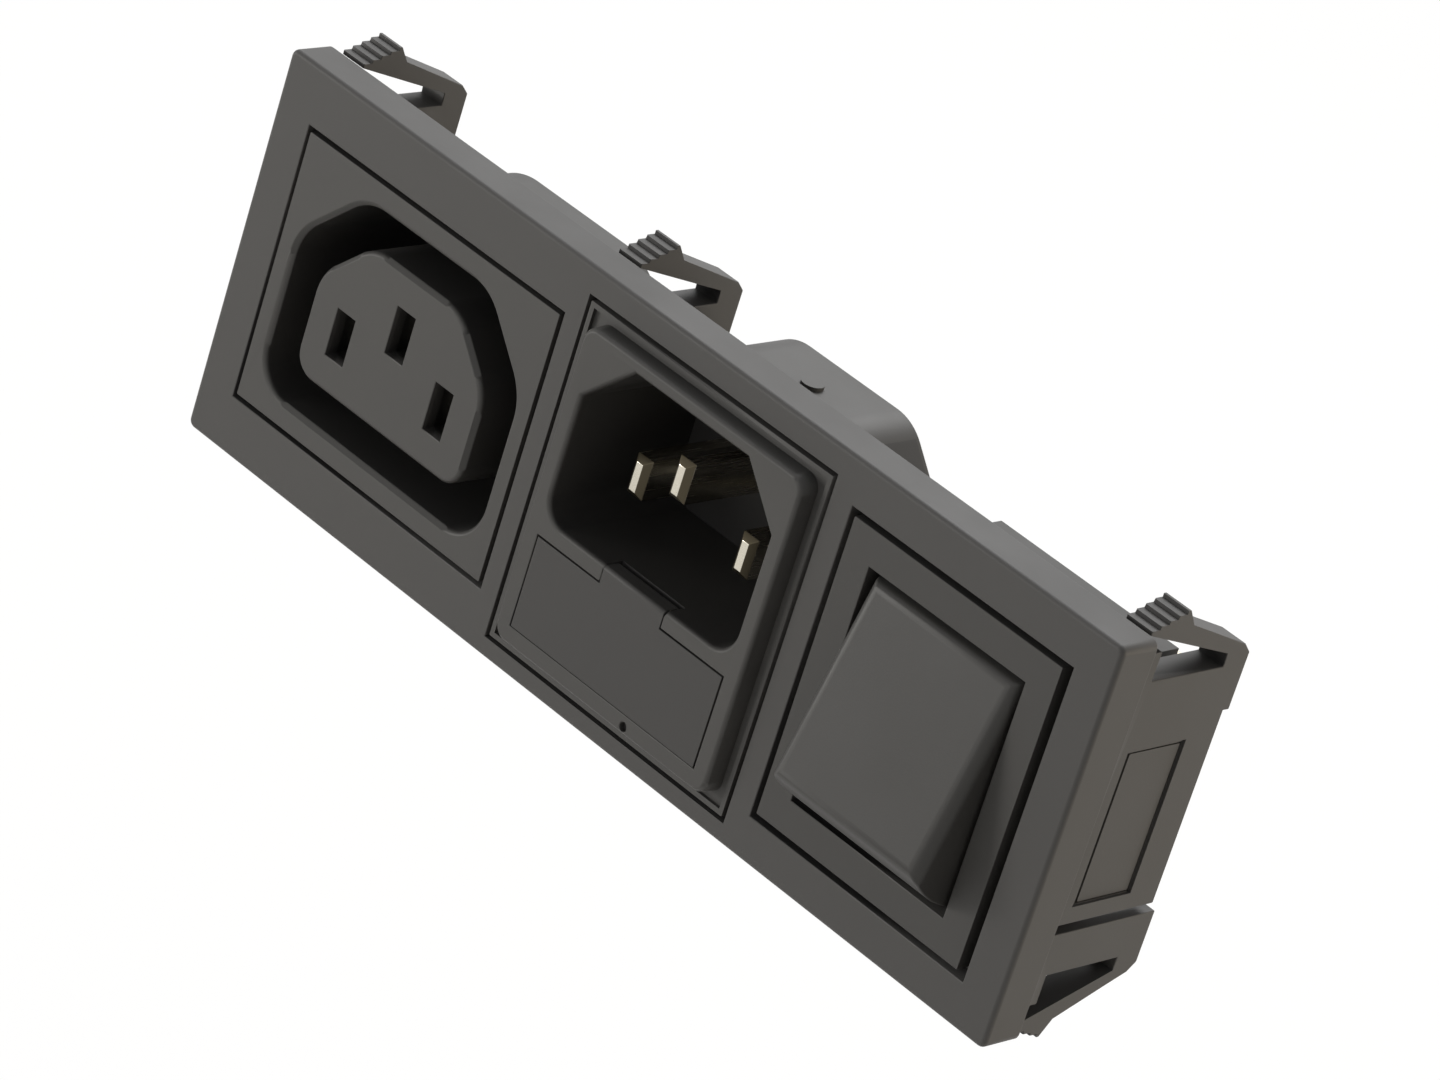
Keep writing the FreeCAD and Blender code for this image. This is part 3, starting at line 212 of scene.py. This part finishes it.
def finished(name, body, material, edge_mm, steps=EDGE_STEPS,
             soft_mm=0.0, is_soft=None, keep=None, detail=None):
    """Show a CAD node as a copy with its flat faces joined and its sharp edges rounded.

    Edges that is_soft picks are rounded by soft_mm. Narrow ones, and those that keep picks,
    stay as they are. detail cuts what the copy has beyond the node."""
    widest = max(soft_mm, edge_mm) * MM
    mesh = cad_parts[name].data.copy()
    shape = bmesh.new()
    shape.from_mesh(mesh)
    bmesh.ops.remove_doubles(shape, verts=shape.verts, dist=SAME_POINT)
    join_flat(shape)
    if detail:
        detail(shape)
    for face in shape.faces:
        face.smooth = True
    rounds = shape.edges.layers.float.new("bevel_weight_edge")
    for edge in shape.edges:
        angle = edge.calc_face_angle(0.0)
        if angle > SHARP:
            middle = (edge.verts[0].co + edge.verts[1].co) / 2
            wanted = widest if is_soft and is_soft(middle) else edge_mm * MM
            width = room(edge)
            if edge.is_convex and width > NARROW_MM * MM and not (keep and keep(edge)):
                edge[rounds] = min(wanted, ROOM_SHARE * width) / widest
            else:
                edge.smooth = edge.is_convex and angle < STEEP
    shape.to_mesh(mesh)
    shape.free()
    piece = bpy.data.objects.new(name + "_finish", mesh)
    scene.collection.objects.link(piece)
    rounding = piece.modifiers.new("rounding", "BEVEL")
    rounding.width = widest
    rounding.segments = steps
    rounding.limit_method = "WEIGHT"
    rounding.miter_outer = "MITER_ARC"
    rounding.use_clamp_overlap = False
    press_flat(as_made(piece))
    flatness = piece.modifiers.new("flatness", "WEIGHTED_NORMAL")
    flatness.weight = FLAT_FIRST
    flatness.keep_sharp = True
    made = as_made(piece)
    made.materials.clear()
    made.materials.append(material)
    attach(piece, body)
    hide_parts(name)


def line_round_pads(shape):
    """Cut the fine line that the tool's insert leaves round the pad in each end wall."""
    pads = [face for face in shape.faces if face.calc_area() > PAD_LEAST_MM2 * MM * MM
            and all(abs(abs(vert.co.x) - PAD_FLOOR_MM * MM) < SAME_PLACE for vert in face.verts)]
    insets = ((PAD_MARGIN_MM, 0.0, PAD_MARGIN_FRONT_MM, PAD_MARGIN_TOP_MM),
              (PAD_DRAFT_MM, -PAD_LINE_DEPTH_MM, 0.0, 0.0),
              (PAD_LINE_MM, 0.0, PAD_LINE_FRONT_MM, 0.0),
              (PAD_DRAFT_MM, PAD_LINE_DEPTH_MM, 0.0, 0.0))
    for pad in pads:
        middle = pad.calc_center_median()
        for width_mm, rise_mm, front_mm, top_mm in insets:
            bmesh.ops.inset_individual(
                shape, faces=[pad], thickness=width_mm * MM, depth=rise_mm * MM)
            for vert in pad.verts:
                vert.co.y += front_mm * MM if vert.co.y < middle.y else 0.0
                vert.co.z -= top_mm * MM if vert.co.z > middle.z else 0.0


bezel_polyamide = moulded_plastic(
    "spark-eroded polyamide", BEZEL_BLACK, BEZEL_BLOOM, BEZEL_ROUGHNESS)
finished("bezel_frame", "panel", bezel_polyamide, BEZEL_EDGE_MM,
         detail=line_round_pads)

# Outlet: a housing of black polyester with a deep channel round its tongue, closed behind by a plate.
# The tool's cores are polished for the draw, so the channel and slots are glossier than the face; they
# are also painted darker, as painted shade in the recess. The flange sits in the bezel, and wedges on
# the housing catch behind it.
HOUSING_BLACK = "#3d3c3b"
HOUSING_BLOOM = "#454442"
HOUSING_ROUGHNESS = 0.52
HOUSING_EDGE_MM = 0.1
COVER_EDGE_MM = 0.15
TONGUE_EDGE_MM = 0.36
TONGUE_HALF_MM = Vector((12.2, 0, 8.2))
SLOTS_HALF_MM = Vector((9.5, 0, 6.5))
# Painted shade: the channel, slots and cavity are coloured darker than the housing to stand for the
# shade in the recess.
RECESS_SHADE_BLACK = "#383736"
POLISHED_ROUGHNESS = 0.4
CHANNEL_LIP_MM = 0.5
CHANNEL_RIM_MM = Vector((2.0, 0, 2.3))


def polish_and_shade_core(material, low, high):
    """Make a plastic glossier inside a box, where polished cores shaped it, and paint it darker there as
    shade in the recess.
    """
    shader = material.node_tree.nodes["Principled BSDF"]
    place = node(material, "ShaderNodeTexCoord").outputs["Object"]
    offset = node(material, "ShaderNodeVectorMath", {
        0: place, 1: (low + high) / 2}, operation="SUBTRACT")
    share = node(material, "ShaderNodeVectorMath", {
        0: offset.outputs[0], 1: (high - low) / 2}, operation="DIVIDE")
    reach = node(material, "ShaderNodeVectorMath", {0: share.outputs[0]}, operation="ABSOLUTE")
    axes = node(material, "ShaderNodeSeparateXYZ", {"Vector": reach.outputs[0]})
    across = node(material, "ShaderNodeMath", {
        0: axes.outputs["X"], 1: axes.outputs["Z"]}, operation="MAXIMUM")
    furthest = node(material, "ShaderNodeMath", {
        0: across.outputs[0], 1: axes.outputs["Y"]}, operation="MAXIMUM")
    inside = node(material, "ShaderNodeMath", {0: furthest.outputs[0], 1: 1.0}, operation="LESS_THAN")
    # Painted shade: inside the box the base colour turns darker for the recess; the lower roughness is
    # the polish.
    polished = {
        "Base Color": ("RGBA", linear(RECESS_SHADE_BLACK)), "Roughness": ("FLOAT", POLISHED_ROUGHNESS)}
    for name, (kind, inner) in polished.items():
        socket = shader.inputs[name]
        mix = node(material, "ShaderNodeMix", {
            "Factor": inside.outputs[0], "A": socket.links[0].from_socket, "B": inner}, data_type=kind)
        material.node_tree.links.new(mix.outputs["Result"], socket)


outlet_low, outlet_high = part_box("outlet_body")
channel_low = outlet_low + CHANNEL_RIM_MM * MM
channel_high = outlet_high - CHANNEL_RIM_MM * MM
channel_low.y += CHANNEL_LIP_MM * MM
outlet_polyester = moulded_plastic(
    "moulded polyester, polished channel with painted shade", HOUSING_BLACK, HOUSING_BLOOM, HOUSING_ROUGHNESS)
polish_and_shade_core(outlet_polyester, channel_low, channel_high)
outlet_middle = (outlet_low + outlet_high) / 2


def on_tongue_edge(point):
    """Whether a point lies on the outline of the tongue's face, well rounded to lead the plug in."""
    off = (point - outlet_middle) / MM
    within = abs(off.x) < TONGUE_HALF_MM.x and abs(off.z) < TONGUE_HALF_MM.z
    clear = abs(off.x) > SLOTS_HALF_MM.x or abs(off.z) > SLOTS_HALF_MM.z
    return within and clear and abs(point.y - outlet_low.y) < SAME_PLACE


finished("outlet_body", "panel", outlet_polyester, HOUSING_EDGE_MM, SOFT_STEPS,
         TONGUE_EDGE_MM, on_tongue_edge)
plain_polyester = moulded_plastic(
    "moulded polyester", HOUSING_BLACK, HOUSING_BLOOM, HOUSING_ROUGHNESS)
finished("outlet_rear_cover", "panel", plain_polyester, COVER_EDGE_MM)

# Contacts, pins and terminals: brass strip, stamped, folded, tinned and pressed into the housings.
# The tin shows faint lines along the strip from the rolling. On slopes, where mating contacts scrape, it
# has worn through to dull brown brass, and that dark brown also stands as painted shade for the dark the
# slopes reflect. The switch's two blades rock on their posts.
TIN_BRIGHT = "#dcd7c9"
TIN_DULL = "#b9b2a2"
TIN_ROUGHNESS = (0.19, 0.29)
BRASS_WORN_AND_SHADE = "#4c4639"
WORN_ROUGHNESS = 0.45
ROLLING_MM = 0.15  # coarser than the real lines, so that they show
ROLLING_LENGTH_MM = 12.0
ROLLING_DETAIL = 3.0
STAMPED_EDGE_MM = 0.07
SLANT = 0.7
SLANT_RANGE = 0.2


def runs_into_corner(edge):
    """Whether an edge ends in an inside corner, where a punch leaves it sharp."""
    return any(not other.is_convex and other.calc_face_angle(0.0) > SHARP
               for vert in edge.verts for other in vert.link_edges)


tin_plate, tin_shader, tin_place = new_material("tin-plated brass")
tin_grain = node(tin_plate, "ShaderNodeMapping", {
    "Vector": tin_place,
    "Scale": (1 / (ROLLING_MM * MM), 1 / (ROLLING_LENGTH_MM * MM), 1 / (ROLLING_MM * MM))})
tin_lines = node(tin_plate, "ShaderNodeTexNoise", {
    "Vector": tin_grain.outputs["Vector"], "Scale": 1.0, "Detail": ROLLING_DETAIL})
tin_tint = node(tin_plate, "ShaderNodeMix", {
    "Factor": tin_lines.outputs["Fac"], "A": linear(TIN_BRIGHT), "B": linear(TIN_DULL)},
    data_type="RGBA")
tin_gloss = node(tin_plate, "ShaderNodeMapRange", {
    "Value": tin_lines.outputs["Fac"], "From Min": NOISE_LOW, "From Max": NOISE_HIGH,
    "To Min": TIN_ROUGHNESS[0], "To Max": TIN_ROUGHNESS[1]})
tin_facing = node(tin_plate, "ShaderNodeSeparateXYZ", {
    "Vector": node(tin_plate, "ShaderNodeTexCoord").outputs["Normal"]})
tin_lean = node(tin_plate, "ShaderNodeMath", {0: tin_facing.outputs["Y"]}, operation="ABSOLUTE")
tin_slant = node(tin_plate, "ShaderNodeMath", {
    0: tin_lean.outputs[0], 1: SLANT, 2: SLANT_RANGE}, operation="COMPARE")
# Painted shade: slopes that face half across the front are coloured dark brown, partly worn brass and
# partly the dark they reflect.
tin_worn_and_shaded = node(tin_plate, "ShaderNodeMix", {
    "Factor": tin_slant.outputs[0], "A": tin_tint.outputs["Result"], "B": linear(BRASS_WORN_AND_SHADE)},
    data_type="RGBA")
tin_dull = node(tin_plate, "ShaderNodeMix", {
    "Factor": tin_slant.outputs[0], "A": tin_gloss.outputs["Result"], "B": WORN_ROUGHNESS})
tin_plate.node_tree.links.new(tin_worn_and_shaded.outputs["Result"], tin_shader.inputs["Base Color"])
tin_plate.node_tree.links.new(tin_dull.outputs["Result"], tin_shader.inputs["Roughness"])
tin_shader.inputs["Metallic"].default_value = 1.0
PANEL_STAMPINGS = [
    "outlet_live_contact", "outlet_earth_contact", "outlet_neutral_contact",
    "inlet_neutral_pin", "inlet_earth_pin", "inlet_live_pin", "fuse_clip_left", "fuse_clip_right",
    "pivot_terminal_left", "pivot_terminal_right", "fixed_terminal_left", "fixed_terminal_right"]
for stamping in PANEL_STAMPINGS:
    finished(stamping, "panel", tin_plate, STAMPED_EDGE_MM, keep=runs_into_corner)
for side in ("left", "right"):
    finished(f"contact_blade_{side}", f"blade_{side}", tin_plate,
             STAMPED_EDGE_MM, keep=runs_into_corner)

# Inlet: a housing of the same polyester, with a raised boss round the plug cavity and the fuse bay.
# The cavity comes from a polished core and is painted darker as shade, as in the outlet, and the boss
# stands in a shallow moat.
CAVITY_LIP_MM = 0.45
CAVITY_HALF_MM = 12.4
CAVITY_BOTTOM_MM = -5.2
CAVITY_TOP_MM = 14.3
INLET_EDGE_MM = 0.1
inlet_low, inlet_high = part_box("inlet_body")
inlet_x = (inlet_low.x + inlet_high.x) / 2
cavity_low = Vector((
    inlet_x - CAVITY_HALF_MM * MM, inlet_low.y + CAVITY_LIP_MM * MM, CAVITY_BOTTOM_MM * MM))
cavity_high = Vector((
    inlet_x + CAVITY_HALF_MM * MM, inlet_high.y - CAVITY_LIP_MM * MM, CAVITY_TOP_MM * MM))
inlet_polyester = moulded_plastic(
    "moulded polyester, polished cavity with painted shade", HOUSING_BLACK, HOUSING_BLOOM, HOUSING_ROUGHNESS)
polish_and_shade_core(inlet_polyester, cavity_low, cavity_high)
finished("inlet_body", "panel", inlet_polyester, INLET_EDGE_MM)

# Fuse drawer: a small polyester moulding, a front with a finger pull and an open tray behind it.
# It slides out of the bay under the plug cavity and carries the fuse with it.
# Painted shade: the drawer is coloured darker than the housing to stand for the shade in its finger pull
# and tray.
DRAWER_SHADE_BLACK = "#363534"
DRAWER_BLOOM = "#3d3c3b"
DRAWER_ROUGHNESS = 0.56
DRAWER_EDGE_MM = 0.05
drawer_polyester = moulded_plastic(
    "moulded polyester, drawer", DRAWER_SHADE_BLACK, DRAWER_BLOOM, DRAWER_ROUGHNESS)
finished("fuse_drawer", "drawer", drawer_polyester, DRAWER_EDGE_MM)

# Fuse: a drawn tube of clear glass with a fine tinned wire inside and nickel-plated caps pressed on its
# ends. It lies crosswise in the drawer's tray and meets the inlet's clips when the drawer is home.
GLASS_CLEAR = "#f4f8f6"
GLASS_IOR = 1.52
GLASS_ROUGHNESS = (0.01, 0.05)
DRAWN_MM = 0.25
DRAWN_LENGTH_MM = 15.0
DRAWN_DETAIL = 2.0
GLASS_EDGE_MM = 0.08
CAP_EDGE_MM = 0.15
WIRE_EDGE_MM = 0.04
NICKEL = "#c9c6bd"
NICKEL_WORN = "#b3afa4"
NICKEL_ROUGHNESS = 0.22
NICKEL_SPOT_MM = 1.2
NICKEL_SPOT_DETAIL = 3.0
fuse_glass, glass_shader, glass_place = new_material("drawn soda glass")
glass_draw = node(fuse_glass, "ShaderNodeMapping", {
    "Vector": glass_place,
    "Scale": (1 / (DRAWN_LENGTH_MM * MM), 1 / (DRAWN_MM * MM), 1 / (DRAWN_MM * MM))})
glass_lines = node(fuse_glass, "ShaderNodeTexNoise", {
    "Vector": glass_draw.outputs["Vector"], "Scale": 1.0, "Detail": DRAWN_DETAIL})
glass_gloss = node(fuse_glass, "ShaderNodeMapRange", {
    "Value": glass_lines.outputs["Fac"], "From Min": NOISE_LOW, "From Max": NOISE_HIGH,
    "To Min": GLASS_ROUGHNESS[0], "To Max": GLASS_ROUGHNESS[1]})
fuse_glass.node_tree.links.new(glass_gloss.outputs["Result"], glass_shader.inputs["Roughness"])
glass_shader.inputs["Base Color"].default_value = linear(GLASS_CLEAR)
glass_shader.inputs["Transmission Weight"].default_value = 1.0
glass_shader.inputs["IOR"].default_value = GLASS_IOR
nickel_plate, nickel_shader, nickel_place = new_material("nickel-plated brass")
nickel_spots = node(nickel_plate, "ShaderNodeTexNoise", {
    "Vector": nickel_place, "Scale": 1 / (NICKEL_SPOT_MM * MM), "Detail": NICKEL_SPOT_DETAIL})
nickel_tint = node(nickel_plate, "ShaderNodeMix", {
    "Factor": nickel_spots.outputs["Fac"], "A": linear(NICKEL), "B": linear(NICKEL_WORN)},
    data_type="RGBA")
nickel_plate.node_tree.links.new(nickel_tint.outputs["Result"], nickel_shader.inputs["Base Color"])
nickel_shader.inputs["Metallic"].default_value = 1.0
nickel_shader.inputs["Roughness"].default_value = NICKEL_ROUGHNESS
finished("fuse_tube", "drawer", fuse_glass, GLASS_EDGE_MM)
finished("fuse_wire", "drawer", tin_plate, WIRE_EDGE_MM)
for cap in ("fuse_cap_left", "fuse_cap_right"):
    finished(cap, "drawer", nickel_plate, CAP_EDGE_MM)

# Switch: a deep polyamide housing with a flange, and a rocker that turns on stub shafts in its sides.
# The rocker's tool is smoother, so it has a faint sheen, and its edges are well rounded for the finger.
# Two plungers slide in the rocker's tubes and press the blades over.
SWITCH_BLACK = "#383736"
SWITCH_BLOOM = "#403f3d"
SWITCH_ROUGHNESS = 0.55
SWITCH_EDGE_MM = 0.1
ROCKER_BLACK = "#363534"
ROCKER_BLOOM = "#3d3c3a"
ROCKER_ROUGHNESS = 0.48
ROCKER_EDGE_MM = 0.2
PLUNGER_EDGE_MM = 0.1
switch_polyamide = moulded_plastic(
    "spark-eroded polyamide, switch", SWITCH_BLACK, SWITCH_BLOOM, SWITCH_ROUGHNESS)
finished("switch_body", "panel", switch_polyamide, SWITCH_EDGE_MM)
rocker_polyamide = moulded_plastic(
    "fine-grained polyamide", ROCKER_BLACK, ROCKER_BLOOM, ROCKER_ROUGHNESS)
finished("rocker", "rocker", rocker_polyamide, ROCKER_EDGE_MM, SOFT_STEPS)
for side in ("left", "right"):
    finished(f"plunger_{side}", "rocker", plain_polyester, PLUNGER_EDGE_MM)

# Plunger springs: hard-drawn steel wire, wound cold into four turns, one behind each plunger in a tube.
# The wire is round and grey, finely mottled from the drawing.
WIRE_RADIUS_MM = 0.19
COIL_RADIUS_MM = 1.44
COIL_TURNS = 4.0
COIL_STEPS = 40
WIRE_SIDES = 12
COIL_START_MM = -5.01
COIL_END_MM = -0.29
POLE_SPREAD_MM = 4.6
PIVOT_MM = Vector((36.5, -0.3, 0.0))
ROCKER_TILT = math.radians(-15)
STEEL_GREY = "#9b9b9c"
STEEL_DARK = "#7d7d80"
STEEL_ROUGHNESS = 0.33
DRAWING_MM = 0.06
DRAWING_DETAIL = 2.0
spring_steel, steel_shader, steel_place = new_material("drawn spring steel")
steel_lines = node(spring_steel, "ShaderNodeTexNoise", {
    "Vector": steel_place, "Scale": 1 / (DRAWING_MM * MM), "Detail": DRAWING_DETAIL})
steel_tint = node(spring_steel, "ShaderNodeMix", {
    "Factor": steel_lines.outputs["Fac"], "A": linear(STEEL_GREY), "B": linear(STEEL_DARK)},
    data_type="RGBA")
spring_steel.node_tree.links.new(steel_tint.outputs["Result"], steel_shader.inputs["Base Color"])
steel_shader.inputs["Metallic"].default_value = 1.0
steel_shader.inputs["Roughness"].default_value = STEEL_ROUGHNESS

coil_nodes = bpy.data.node_groups.new("coil spring", "GeometryNodeTree")
COIL_INPUTS = {
    "Turns": "NodeSocketFloat", "Coil radius": "NodeSocketFloat", "Wire radius": "NodeSocketFloat",
    "Length": "NodeSocketFloat", "Start": "NodeSocketVector", "Turn": "NodeSocketRotation",
    "Wire": "NodeSocketMaterial"}
coil_sockets = {
    name: coil_nodes.interface.new_socket(name, in_out="INPUT", socket_type=kind).identifier
    for name, kind in COIL_INPUTS.items()}
coil_nodes.interface.new_socket("Geometry", in_out="OUTPUT", socket_type="NodeSocketGeometry")
given = coil_nodes.nodes.new("NodeGroupInput")
helix = coil_nodes.nodes.new("GeometryNodeCurveSpiral")
helix.inputs["Resolution"].default_value = COIL_STEPS
section = coil_nodes.nodes.new("GeometryNodeCurvePrimitiveCircle")
section.inputs["Resolution"].default_value = WIRE_SIDES
swept = coil_nodes.nodes.new("GeometryNodeCurveToMesh")
swept.inputs["Fill Caps"].default_value = True
seated = coil_nodes.nodes.new("GeometryNodeTransform")
smoothed = coil_nodes.nodes.new("GeometryNodeSetShadeSmooth")
realized = coil_nodes.nodes.new("GeometryNodeRealizeInstances")
dressed = coil_nodes.nodes.new("GeometryNodeSetMaterial")
result = coil_nodes.nodes.new("NodeGroupOutput")
COIL_LINKS = [
    (given.outputs["Turns"], helix.inputs["Rotations"]),
    (given.outputs["Coil radius"], helix.inputs["Start Radius"]),
    (given.outputs["Coil radius"], helix.inputs["End Radius"]),
    (given.outputs["Length"], helix.inputs["Height"]),
    (given.outputs["Wire radius"], section.inputs["Radius"]),
    (helix.outputs["Curve"], swept.inputs["Curve"]),
    (section.outputs["Curve"], swept.inputs["Profile Curve"]),
    (swept.outputs["Mesh"], seated.inputs["Geometry"]),
    (given.outputs["Start"], seated.inputs["Translation"]),
    (given.outputs["Turn"], seated.inputs["Rotation"]),
    (seated.outputs["Geometry"], smoothed.inputs["Geometry"]),
    (smoothed.outputs["Geometry"], realized.inputs["Geometry"]),
    (realized.outputs["Geometry"], dressed.inputs["Geometry"]),
    (given.outputs["Wire"], dressed.inputs["Material"]),
    (dressed.outputs["Geometry"], result.inputs["Geometry"])]
for start, end in COIL_LINKS:
    coil_nodes.links.new(start, end)
tilt = Matrix.Rotation(ROCKER_TILT, 4, "X")
for side, sign in (("left", -1), ("right", 1)):
    pole = PIVOT_MM + Vector((sign * POLE_SPREAD_MM, 0, 0))
    foot = pole + tilt @ Vector((0, COIL_START_MM, 0))
    spring = bpy.data.objects.new(f"plunger_spring_{side}_finish", bpy.data.meshes.new("spring"))
    scene.collection.objects.link(spring)
    winding = spring.modifiers.new("winding", "NODES")
    winding.node_group = coil_nodes
    winding[coil_sockets["Turns"]] = COIL_TURNS
    winding[coil_sockets["Coil radius"]] = COIL_RADIUS_MM * MM
    winding[coil_sockets["Wire radius"]] = WIRE_RADIUS_MM * MM
    winding[coil_sockets["Length"]] = (COIL_END_MM - COIL_START_MM) * MM
    winding[coil_sockets["Start"]] = foot * MM
    winding[coil_sockets["Turn"]] = (ROCKER_TILT - math.pi / 2, 0.0, 0.0)
    winding[coil_sockets["Wire"]] = spring_steel
    as_made(spring)
    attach(spring, "rocker")
    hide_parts(f"plunger_spring_{side}")

# Floor: a sheet of white paper below the panel, which hangs free as it does in its cut-out.
# It throws a little warm light up at the panel, keeps its soft shadow, and looks white to the camera.
FLOOR_DROP_MM = 120.0
FLOOR_HALF = 4.0
PAPER = "#f4efe6"
PAPER_ROUGHNESS = 0.9
SEEN_WHITE = 0.95
floor_level = -FLOOR_DROP_MM * MM
floor_mesh = bpy.data.meshes.new("floor")
floor_mesh.from_pydata(
    [(-FLOOR_HALF, -FLOOR_HALF, floor_level), (FLOOR_HALF, -FLOOR_HALF, floor_level),
     (FLOOR_HALF, FLOOR_HALF, floor_level), (-FLOOR_HALF, FLOOR_HALF, floor_level)], [], [(0, 1, 2, 3)])
floor = bpy.data.objects.new("floor", floor_mesh)
scene.collection.objects.link(floor)
white_paper, paper_shader = new_material("white paper")[:2]
paper_shader.inputs["Base Color"].default_value = linear(PAPER)
paper_shader.inputs["Roughness"].default_value = PAPER_ROUGHNESS


def seen_directly(tree_owner):
    """A socket that is 1 for rays from the camera, off gloss or through glass, and else 0."""
    path = node(tree_owner, "ShaderNodeLightPath")
    seen = node(tree_owner, "ShaderNodeMath", {
        0: path.outputs["Is Camera Ray"], 1: path.outputs["Is Glossy Ray"]}, operation="MAXIMUM")
    through = node(tree_owner, "ShaderNodeMath", {
        0: seen.outputs[0], 1: path.outputs["Is Transmission Ray"]}, operation="MAXIMUM")
    return through.outputs[0]


share_white = node(white_paper, "ShaderNodeMath", {
    0: seen_directly(white_paper), 1: SEEN_WHITE}, operation="MULTIPLY")
bright = node(white_paper, "ShaderNodeEmission", {"Color": (1, 1, 1, 1), "Strength": 1.0})
paper_mix = node(white_paper, "ShaderNodeMixShader", {
    0: share_white.outputs[0], 1: paper_shader.outputs[0], 2: bright.outputs[0]})
white_paper.node_tree.links.new(
    paper_mix.outputs[0], white_paper.node_tree.nodes["Material Output"].inputs["Surface"])
floor_mesh.materials.append(white_paper)

# Studio: a white surround that gives little light of its own, a wide lamp overhead and softer ones
# beside it. The left lamp shapes the fronts and leaves the sides that face right in shade, as in the
# photograph. Each lamp has its place and width in metres, its watts and its colour.
SURROUND_LIGHT = 0.17
LAMPS = {
    "overhead": ((-0.24, 0.38, 0.62), 0.55, 6.5, "#ffffff"),
    "left": ((-0.80, -0.65, 0.02), 0.35, 6.4, "#fffdf8"),
    "right": ((0.60, 0.45, 0.05), 0.40, 3.0, "#fff0d8"),
    "fill": ((0.00, -0.85, 0.25), 0.50, 1.1, "#ffffff"),
}
scene.view_settings.view_transform = "Standard"
world = bpy.data.worlds.new("white surround")
scene.world = world
world.use_nodes = True
surround = world.node_tree.nodes["Background"]
surround.inputs["Color"].default_value = (1, 1, 1, 1)
world_level = node(world, "ShaderNodeMapRange", {
    "Value": seen_directly(world), "To Min": SURROUND_LIGHT, "To Max": 1.0})
world.node_tree.links.new(world_level.outputs["Result"], surround.inputs["Strength"])
for name, (place, size, watts, colour) in LAMPS.items():
    lamp = bpy.data.lights.new(name, "AREA")
    lamp.size = size
    lamp.energy = watts
    lamp.color = linear(colour)[:3]
    lamp_object = bpy.data.objects.new(name, lamp)
    lamp_object.location = place
    lamp_object.rotation_euler = (-Vector(place)).to_track_quat("-Z", "Y").to_euler()
    scene.collection.objects.link(lamp_object)

# Camera: a long lens above and to the right of the panel, turned a little about its own axis.
# Its place and turn were solved on the panel's corners and the standard pins in the photograph.
SENSOR_MM = 36.0
LENS_MM = 163.4
CAMERA_RIGHT = Vector((0.65909, 0.69890, 0.27775))
CAMERA_UP = Vector((-0.49349, 0.12322, 0.86098))
CAMERA_BACK = Vector((0.56751, -0.70453, 0.42611))
CAMERA_PLACE_MM = Vector((330.32, -401.24, 245.03))
NEAREST = 0.01
FURTHEST = 50.0
camera_data = bpy.data.cameras.new("camera")
camera_data.sensor_width = SENSOR_MM
camera_data.lens = LENS_MM
camera_data.clip_start = NEAREST
camera_data.clip_end = FURTHEST
camera = bpy.data.objects.new("camera", camera_data)
turn = Matrix((CAMERA_RIGHT, CAMERA_UP, CAMERA_BACK)).transposed().to_4x4()
camera.matrix_world = Matrix.Translation(CAMERA_PLACE_MM * MM) @ turn
scene.collection.objects.link(camera)
scene.camera = camera
